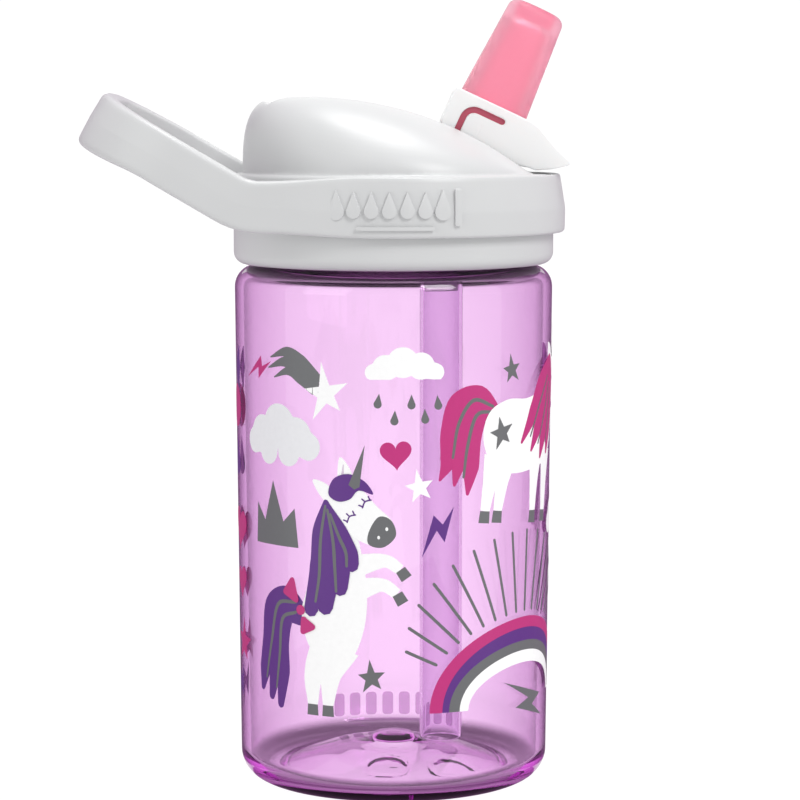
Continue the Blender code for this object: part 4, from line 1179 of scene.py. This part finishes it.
def cover():
    """Deck, side wall and the hollow dome with the spout's channel, edges softened."""
    deck_low = COLLAR_DECK_Z + GAP
    wall_low = COLLAR_STEP_Z + GAP
    inner_r = COLLAR_SPIGOT_R + GAP
    profile = [(0, DECK_Z), (COLLAR_R - 0.5, DECK_Z), (COLLAR_R, DECK_Z - 0.5), (COLLAR_R, wall_low)]
    profile += [(inner_r, wall_low), (inner_r, deck_low), (0, deck_low)]
    body = revolve("cap_cover_moulding", profile, steps=160)
    join(body, dome("dome_skin", 0.0, DECK_Z - 1.0))
    hollow = dome("dome_hollow", DOME_WALL, deck_low - 1.0, 64, 10)
    wall_half = CHANNEL_HALF_W + CHANNEL_WALL
    core = prism("channel_core", [(-40, 130), (40, 130), (40, 165), (-40, 165)], wall_half)
    boss_half = Vector((0, BOSS_REACH, 0))
    cut(hollow, core, rod("trunnion_boss", BOSS_R, PIVOT - boss_half, PIVOT + boss_half))
    cut(body, hollow)
    back = CHANNEL_REAR_X - CHANNEL_WALL
    front = CHANNEL_FRONT_X
    under = [(back, DECK_Z - 0.5), (back, channel_floor(back) - 1.15)]
    under += [(front, channel_floor(front) - 1.15), (front, DECK_Z - 0.5)]
    trough = prism("channel_trough", under, wall_half)
    clear_r = PLUG_IN_R - GAP
    keep_off = [(clear_r, deck_low), (42, deck_low), (42, 120), (clear_r, 120)]
    cut(trough, revolve("collar_clearance", keep_off, steps=96, closed=True))
    join(body, trough)
    rear = CHANNEL_REAR_X
    room = [(rear - 1.6, 170), (rear - 1.6, 157.0), (rear, 156.4), (rear, channel_floor(rear))]
    room += [(front, channel_floor(front)), (front, BLOCK_LOW_Z), (SLOT_FRONT_X, BLOCK_LOW_Z)]
    room += [(SLOT_FRONT_X, DECK_Z), (FAR, DECK_Z), (FAR, 170)]
    channel = prism("channel_cut", room, CHANNEL_HALF_W)
    reach = Vector((0, PIN_HOLE_REACH, 0))
    holes = rod("trunnion_holes", PIN_HOLE_R, PIVOT - reach, PIVOT + reach)
    breather = rod("breather_hole", 1.2, (VENT_X, 0, 130), (VENT_X, 0, 142), 24)
    cut(body, channel, holes, breather)
    melt(body, 0.36, 7)
    return finish_piece(body, WHITE_PP, "cap", "white_polypropylene", "cap_cover", angle=None)


# Carry handle: a flat outline, with the loop bent up past the bend ----------------------
LOOP_BEND_X = -32.9
LOOP_BEND_R = 14.0
LOOP_HALF_W = 34.5
LOOP_CORNER = 27.0
LOOP_LEAN = 2.7
BAND_THICK, LOOP_THICK = 2.3, 4.4


def fold(along, y, up):
    """Places a point of the flat handle, turning the loop up past the bend."""
    mid_z = (BAND_LOW_Z + BAND_TOP_Z) / 2
    start = LOOP_BEND_X + LOOP_BEND_R * math.tan(LOOP_TILT / 2)
    past = start - along
    tilt = min(max(past / LOOP_BEND_R, 0.0), LOOP_TILT)
    rest = max(0.0, past - LOOP_BEND_R * LOOP_TILT)
    flat = along if past <= 0 else start
    x = flat - LOOP_BEND_R * math.sin(tilt) - rest * math.cos(tilt)
    z = mid_z + LOOP_BEND_R * (1 - math.cos(tilt)) + rest * math.sin(tilt)
    return x + up * math.sin(tilt), y, z + up * math.cos(tilt)


def handle_path():
    """The handle's outer outline when flat: (x, y, how much of it is loop)."""
    bend_half = LOOP_BEND_R * math.tan(LOOP_TILT / 2)
    bend_out = LOOP_BEND_X + bend_half - LOOP_BEND_R * math.sin(LOOP_TILT)
    straight = (LOOP_REACH - LOOP_LEAN + bend_out) / math.cos(LOOP_TILT)
    end_x = LOOP_BEND_X + bend_half - LOOP_BEND_R * LOOP_TILT - straight
    points = []
    leave = math.radians(104)
    for i in range(73):
        angle = leave * i / 72
        points.append((BAND_R * math.cos(angle), BAND_R * math.sin(angle), 0.0))
    corner_x, corner_y = end_x + LOOP_CORNER, LOOP_HALF_W - LOOP_CORNER
    first = points[-1]
    for i in range(1, 31):
        t = i / 30
        x = first[0] + (corner_x - first[0]) * t
        y = first[1] + (LOOP_HALF_W - first[1]) * (t * (2 - t) * 0.35 + t * 0.65)
        points.append((x, y, min(1.0, t * 2.2)))
    for i in range(1, 37):
        angle = math.pi / 2 * (1 + i / 36)
        x = corner_x + LOOP_CORNER * math.cos(angle)
        y = corner_y + LOOP_CORNER * math.sin(angle)
        points.append((x, y, 1.0))
    points[-1] = (end_x - 0.4, 0.0, 1.0)
    return points


def strap_sections():
    """The strap's section as points (out, up), on the band and on the loop."""
    band = [(0, 6.5, 0.4), (0, -6.6, 0.4), (2.3, -6.75, 0.9), (2.42, -1.2, 8.0), (1.15, 6.7, 1.7)]
    loop = [(0, 5.7, 1.0), (0, -5.7, 1.0), (4.3, -5.7, 1.3), (4.5, 0, 8.0), (4.3, 5.7, 1.3)]
    return rounded(band, True), rounded(loop, True)


def handle():
    """The band round the cap and its carry loop, as one strap with a changing section."""
    half = handle_path()
    path = half + [(x, -y, share) for x, y, share in reversed(half[1:-1])]
    count = len(path)
    shares = [p[2] for p in path]
    for _ in range(12):
        shares = [(shares[i - 1] + 2 * shares[i] + shares[(i + 1) % count]) / 4 for i in range(count)]
    sections = strap_sections()
    rings = []
    for i, (x, y, _) in enumerate(path):
        before, after = path[i - 2], path[(i + 2) % count]
        along = Vector((after[0] - before[0], after[1] - before[1])).normalized()
        outward = Vector((along.y, -along.x))
        share = max(0.0, min(1.0, shares[i]))
        grip = max(0.0, min(1.0, (-x - 55) / 18))
        grip = grip * grip * (3 - 2 * grip)
        ring = []
        for on_band, on_loop in zip(*sections):
            out = on_band[0] * (1 - share) + on_loop[0] * share
            up = on_band[1] * (1 - share) + on_loop[1] * (1 + 0.13 * grip) * share
            inward = BAND_THICK + (LOOP_THICK - BAND_THICK) * share - out
            ring.append(fold(x - outward.x * inward, y - outward.y * inward, up - 0.8 * grip * share))
        rings.append(ring)
    body = loft("carry_handle_moulding", rings, looped=True)
    relax = body.modifiers.new("relax", "SMOOTH")
    relax.factor = 0.5
    relax.iterations = 2
    bake(body)
    return finish_piece(body, WHITE_PP, "cap", "white_polypropylene", "carry_handle", angle=50)


def band_relief(name, turn):
    """Raised water drops between short bars, on the band's outer face."""
    middle = 133.9
    shapes = []
    for k in range(7):
        scale = 3.1 if k in (0, 6) else 2.7
        shapes.append((moved(drop(), 3.9 * (k - 3) - 0.8, middle + 0.2, 0, scale), 0))
    for side in (-1, 1):
        at = side * 15.2 - 0.8
        shapes.append((plate(at - 0.75, middle - 4.2, at + 0.75, middle + 4.0, 0.5), 0))
    shapes.append((plate(-8.0, middle - 5.1, 9.0, middle - 4.3, 0.3), 0))
    obj = wrap(name, shapes, [WHITE_PP], band_r, lift=-0.35, step=0.0, thick=1.05, turn=turn)
    bevel = obj.modifiers.new("soften", "BEVEL")
    bevel.width = 0.16 * MM
    bevel.segments = 2
    bevel.limit_method = "ANGLE"
    bevel.angle_limit = math.radians(50)
    bake(obj)
    return finish_piece(obj, WHITE_PP, "cap", "white_polypropylene", angle=40)


def straw_tube():
    """The clear straw, with slightly eased ends."""
    low, high = STRAW_LOW.z, STRAW_HIGH.z
    profile = rounded(
        [
            (STRAW_BORE_R, high, 0.15),
            (STRAW_R, high, 0.15),
            (STRAW_R, low, 0.25),
            (STRAW_BORE_R, low, 0.25),
        ],
        closed=True,
        segments=3,
    )
    body = revolve("straw_tube", profile, steps=96, x=STRAW_X, closed=True)
    return finish_piece(body, STRAW_CLEAR, "cap", "clear_straw", "straw")


# Spout and bite valve, built upright on the pivot --------------------------------------
COLLAR_TOP = 16.2
POCKET_HALF = (8.5, 9.8)
NIPPLE_HALF = (5.9, 7.2)
CHAMBER_HALF = (4.6, 5.9)
VALVE_LOW_HALF = (8.2, 9.5)
VALVE_TAPER = (1.5, 1.4)
VALVE_WALL = 1.9
VALVE_EDGE = 2.4
SLIT_HALF_LENGTH, SLIT_HALF_W = 3.4, 0.2
SLOT_DEPTH, TAB_DEPTH = (9.2, 13.2), (9.3, 10.35)
SLOT_W, TAB_W = 1.4, 1.35
PIN_R, PIN_REACH = 2.6, 13.7
SPOUT_BORE_R, BARREL_PORT_R = 2.7, 2.6
POCKET_FLOOR = 9.5
VALVE_LOW = 9.8
VALVE_SHOULDER = 38.2
OVAL_POWER = 2.5


def ovals(name, sections, count=96):
    """Skins ovals given as (height, half x, half y)."""
    rings = []
    for z, half_x, half_y in sections:
        rings.append([(a, b, z) for a, b in oval(half_x, half_y, OVAL_POWER, count)])
    return loft(name, rings)


def spout_outline():
    """Side outline of the spout and its thumb lever, (forward, up) from the pivot."""
    outline = [(-9.7, 15.7), (-9.8, 14.8), (-9.6, 7.8), (-7.3, 3.9)]
    outline += arc(0, 0, BARREL_R, 172, 362, 40)
    outline += [(8.1, 3.6), (9.6, 5.6), (12.8, 6.5), (14.6, 6.6), (18.0, 8.5), (20.6, 10.5)]
    outline += [(21.1, 11.1), (20.9, 11.9), (19.4, 12.3), (17.3, 12.95), (13.9, 14.5), (11.2, 15.8)]
    outline += [(9.4, 16.2), (-9.2, 16.2)]
    return outline


def slot_shape(name, side, depth, width):
    """The hooked slot in the spout's side wall, from one distance to another off the middle."""
    leg_x, leg_low, top, radius, end_x = -5.4, 4.0, 13.3, 2.6, 3.1
    path = [(leg_x, leg_low), (leg_x, (leg_low + top - radius) / 2)]
    for k in range(9):
        turn = math.pi - math.pi / 2 * k / 8
        path.append((leg_x + radius + radius * math.cos(turn), top - radius + radius * math.sin(turn)))
    path.append((end_x, top))
    outline = stroke(path, [width, width], per=1, rounding=8)
    low, high = depth
    return on_pivot(prism(name, outline, (high - low) / 2, middle=side * (low + high) / 2))


def spout():
    """The spout's moulding: barrel, collar and lever, with its pocket, bores and slots."""
    body = on_pivot(prism("flip_spout_moulding", spout_outline(), SPOUT_HALF_W))
    pin = Vector((0, PIN_REACH, 0))
    join(body, rod("trunnion_pins", PIN_R, PIVOT - pin, PIVOT + pin))
    pocket = on_pivot(ovals("valve_pocket", [(POCKET_FLOOR, *POCKET_HALF), (20, *POCKET_HALF)]))
    cut(body, pocket)
    nipple = [(POCKET_FLOOR - 1, *NIPPLE_HALF), (14.6, *NIPPLE_HALF), (15.4, 5.4, 6.7)]
    join(body, on_pivot(ovals("valve_nipple", nipple)))
    axis = Vector((math.sin(SPOUT_TILT), 0, math.cos(SPOUT_TILT)))
    up = Vector((0, 0, 1))
    chamber = [(7.0, 3.2, 4.0), (8.4, *CHAMBER_HALF), (20, *CHAMBER_HALF)]
    seams = []
    for side in (-1, 1):
        groove = [(-1.0, 4.0), (-0.65, 4.0), (-0.65, 10.6), (-1.0, 10.6)]
        seams.append(on_pivot(prism(f"tongue_seam_{side}", groove, 0.3, middle=side * SPOUT_HALF_W)))
    cut(
        body,
        on_pivot(ovals("nipple_chamber", chamber)),
        rod("spout_bore", SPOUT_BORE_R, PIVOT - axis, PIVOT + axis * 8),
        rod("barrel_port", BARREL_PORT_R, PIVOT + up, PIVOT - up * (BARREL_R + 1)),
        slot_shape("slot_near", -1, SLOT_DEPTH, SLOT_W),
        slot_shape("slot_far", 1, SLOT_DEPTH, SLOT_W),
        *seams,
    )
    melt(body, 0.2, 5)
    return finish_piece(body, SPOUT_PP, "spout", "white_gloss_polypropylene", "flip_spout", angle=None)


def slot_tabs():
    """The silicone that shows at the bottom of the hooked slots, in a darker pink that is painted shade of
    the slots.
    """
    for side, name in ((-1, "slot_tab_near"), (1, "slot_tab_far")):
        tab = slot_shape(name, side, TAB_DEPTH, TAB_W)
        finish_piece(tab, SLOT_SHADED_SILICONE, "spout", "pink_silicone")


def valve_half(z, inset=0.0):
    """Half the mouthpiece's width along X and along Y at a height, less an inset."""
    share = max(0.0, (z - COLLAR_TOP) / (VALVE_SHOULDER - COLLAR_TOP))
    return tuple(low - taper * share - inset for low, taper in zip(VALVE_LOW_HALF, VALVE_TAPER))


def valve():
    """The hollow mouthpiece, with a slit through its thick top."""
    outside = [(VALVE_LOW, *valve_half(VALVE_LOW))]
    for k in range(9):
        z = COLLAR_TOP + (VALVE_SHOULDER - COLLAR_TOP) * k / 8
        outside.append((z, *valve_half(z)))
    for k in range(1, 8):
        turn = math.pi / 2 * k / 7
        inset = VALVE_EDGE * (1 - math.cos(turn))
        outside.append((VALVE_SHOULDER + 2.1 * math.sin(turn), *valve_half(VALVE_SHOULDER, inset)))
    body = ovals("bite_valve_silicone", outside)
    inside = [(VALVE_LOW - 1, *valve_half(VALVE_LOW, VALVE_WALL))]
    for z in (COLLAR_TOP, 22.0, 28.0, 34.4):
        inside.append((z, *valve_half(z, VALVE_WALL)))
    inside.append((35.8, *valve_half(35.8, 2.6)))
    inside.append((36.6, *valve_half(36.6, 3.8)))
    half = SLIT_HALF_LENGTH
    slit = prism("bite_slit", [(-half, 35), (half, 35), (half, 42), (-half, 42)], SLIT_HALF_W)
    cut(body, ovals("valve_inside", inside), slit)
    on_pivot(body)
    return finish_piece(body, PINK_SILICONE, "spout", "pink_silicone", "bite_valve", angle=40)


# Small inner nodes ----------------------------------------------------------------------
def dress_inner_nodes():
    """The small silicone rings and the vent valve keep their CAD shape."""
    for name in ("cap_gasket", "vent_valve", "port_seal"):
        mesh = frame["nodes"][name].data
        mesh.materials.clear()
        mesh.materials.append(MILKY_SILICONE)


# Stage --------------------------------------------------------------------------------
def backdrop():
    """A pale sweep: floor, curve and wall in one sheet. It glows white as painted light, dimmer towards
    the front, which gives the lid painted shade from below.
    """
    material, tree, shader = new_material("glowing_studio_paper")
    colour = tinted(tree, noise(tree, 3.0), (0.05, 0.05, 0.05), (0.06, 0.06, 0.06))
    tree.links.new(colour, shader.inputs["Base Color"])
    shader.inputs["Roughness"].default_value = 0.9
    shader.inputs["Specular IOR Level"].default_value = 0.1
    shader.inputs["Emission Color"].default_value = (1, 1, 1, 1)
    place = tree.nodes.new("ShaderNodeTexCoord")
    split = tree.nodes.new("ShaderNodeSeparateXYZ")
    tree.links.new(place.outputs["Object"], split.inputs["Vector"])
    # Painted light: the sheet's glow dims towards the front, which darkens the lid's lower faces.
    fade = add_node(tree, "ShaderNodeMapRange", From_Min=-1.6, From_Max=-0.10, To_Min=0.40, To_Max=0.985)
    fade.interpolation_type = "SMOOTHSTEP"
    tree.links.new(split.outputs["Y"], fade.inputs["Value"])
    tree.links.new(fade.outputs["Result"], shader.inputs["Emission Strength"])
    profile = [(1.0, 0.0), (900.0, 0.0), (2000.0, 0.0)]
    profile += arc(2000.0, 600.0, 600.0, -90, 0, 24)[1:]
    profile += [(2600.0, 2600.0)]
    sheet = revolve("backdrop", profile, steps=128)
    sheet.data.materials.append(material)
    sheet.data.shade_smooth()


def dark_cards():
    """Dim lilac cards round the bottle that only reflections see: they darken clear edges."""
    material, tree, shader = new_material("dark_card")
    colour = tinted(tree, noise(tree, 8.0), (0.03, 0.02, 0.03), (0.05, 0.04, 0.05))
    tree.links.new(colour, shader.inputs["Base Color"])
    shader.inputs["Roughness"].default_value = 0.9
    # The cards glow faintly lilac: a painted lilac reflection in the clear plastic's edges.
    shader.inputs["Emission Color"].default_value = (1.0, 0.45, 1.0, 1)
    shader.inputs["Emission Strength"].default_value = 0.2
    cards = {"dark_card_floor": [(-170, -330, 1), (170, -330, 1), (170, -58, 1), (-170, -58, 1)]}
    for side, name in ((-1, "dark_card_left"), (1, "dark_card_right")):
        near, far = side * 48.0, side * 330.0
        cards[name] = [(near, 34, 1), (far, -60, 1), (far, -60, 330), (near, 34, 330)]
        inner, outer = side * 38.0, side * 66.0
        cards[name + "_back"] = [(inner, 62, 1), (outer, 62, 1), (outer, 62, 128), (inner, 62, 128)]
        cards[name + "_low"] = [(inner, -58, 1), (far, -58, 1), (far, 400, 1), (inner, 400, 1)]
    front = [math.radians(190 + 160 * k / 40) for k in range(41)]
    ring = [(r * math.cos(turn), r * math.sin(turn), 0.2) for r in (30.6, 40.0) for turn in front]
    made = [solid("dark_card_rim", ring, [(k, k + 1, k + 42, k + 41) for k in range(40)])]
    made += [solid(name, corners, [(0, 1, 2, 3)]) for name, corners in cards.items()]
    for card in made:
        card.data.materials.append(material)
        card.visible_camera = False
        card.visible_shadow = False
        card.visible_diffuse = False
        card.visible_transmission = False


def area_light(name, place, size, power):
    """A square lamp aimed at the middle of the bottle."""
    lamp = bpy.data.lights.new(name, "AREA")
    lamp.energy = power
    lamp.size = size
    obj = bpy.data.objects.new(name, lamp)
    obj.location = place
    aim = Vector((AXIS * MM, 0, 0.1)) - Vector(place)
    obj.rotation_euler = aim.to_track_quat("-Z", "Y").to_euler()
    scene.collection.objects.link(obj)


def lights():
    """Three soft lamps and a white world."""
    area_light("key", (0.7, -0.9, 1.0), size=0.5, power=9.0)
    area_light("fill", (-0.95, -0.8, 0.5), size=0.8, power=2.7)
    area_light("top", (0.1, 0.1, 1.3), size=0.6, power=8.5)
    world = bpy.data.worlds.new("studio")
    world.use_nodes = True
    background = world.node_tree.nodes["Background"]
    background.inputs["Color"].default_value = (1, 1, 1, 1)
    background.inputs["Strength"].default_value = 0.36
    scene.world = world
    scene.view_settings.view_transform = "Standard"


def camera():
    """Square on to the printed side, level with the dome, looking slightly down."""
    lens = bpy.data.cameras.new("camera")
    lens.sensor_width = 36.0
    lens.lens = lens.sensor_width * 3.57
    obj = bpy.data.objects.new("camera", lens)
    obj.location = ((AXIS + 1.5) * MM, -0.660, 0.156)
    obj.rotation_euler = (math.radians(90 - 5.9), 0, 0)
    scene.collection.objects.link(obj)
    scene.camera = obj


camera()
lights()
backdrop()
dark_cards()
bottle_shell()
printed("print_rearing_unicorn", rearing_unicorn())
printed("print_standing_unicorn", standing_unicorn())
printed("print_rainbow", rainbow())
small_motifs()
back_mark()
collar()
cover()
handle()
band_relief("band_relief_near", 0.0)
band_relief("band_relief_far", math.pi)
straw_tube()
spout()
slot_tabs()
valve()
dress_inner_nodes()
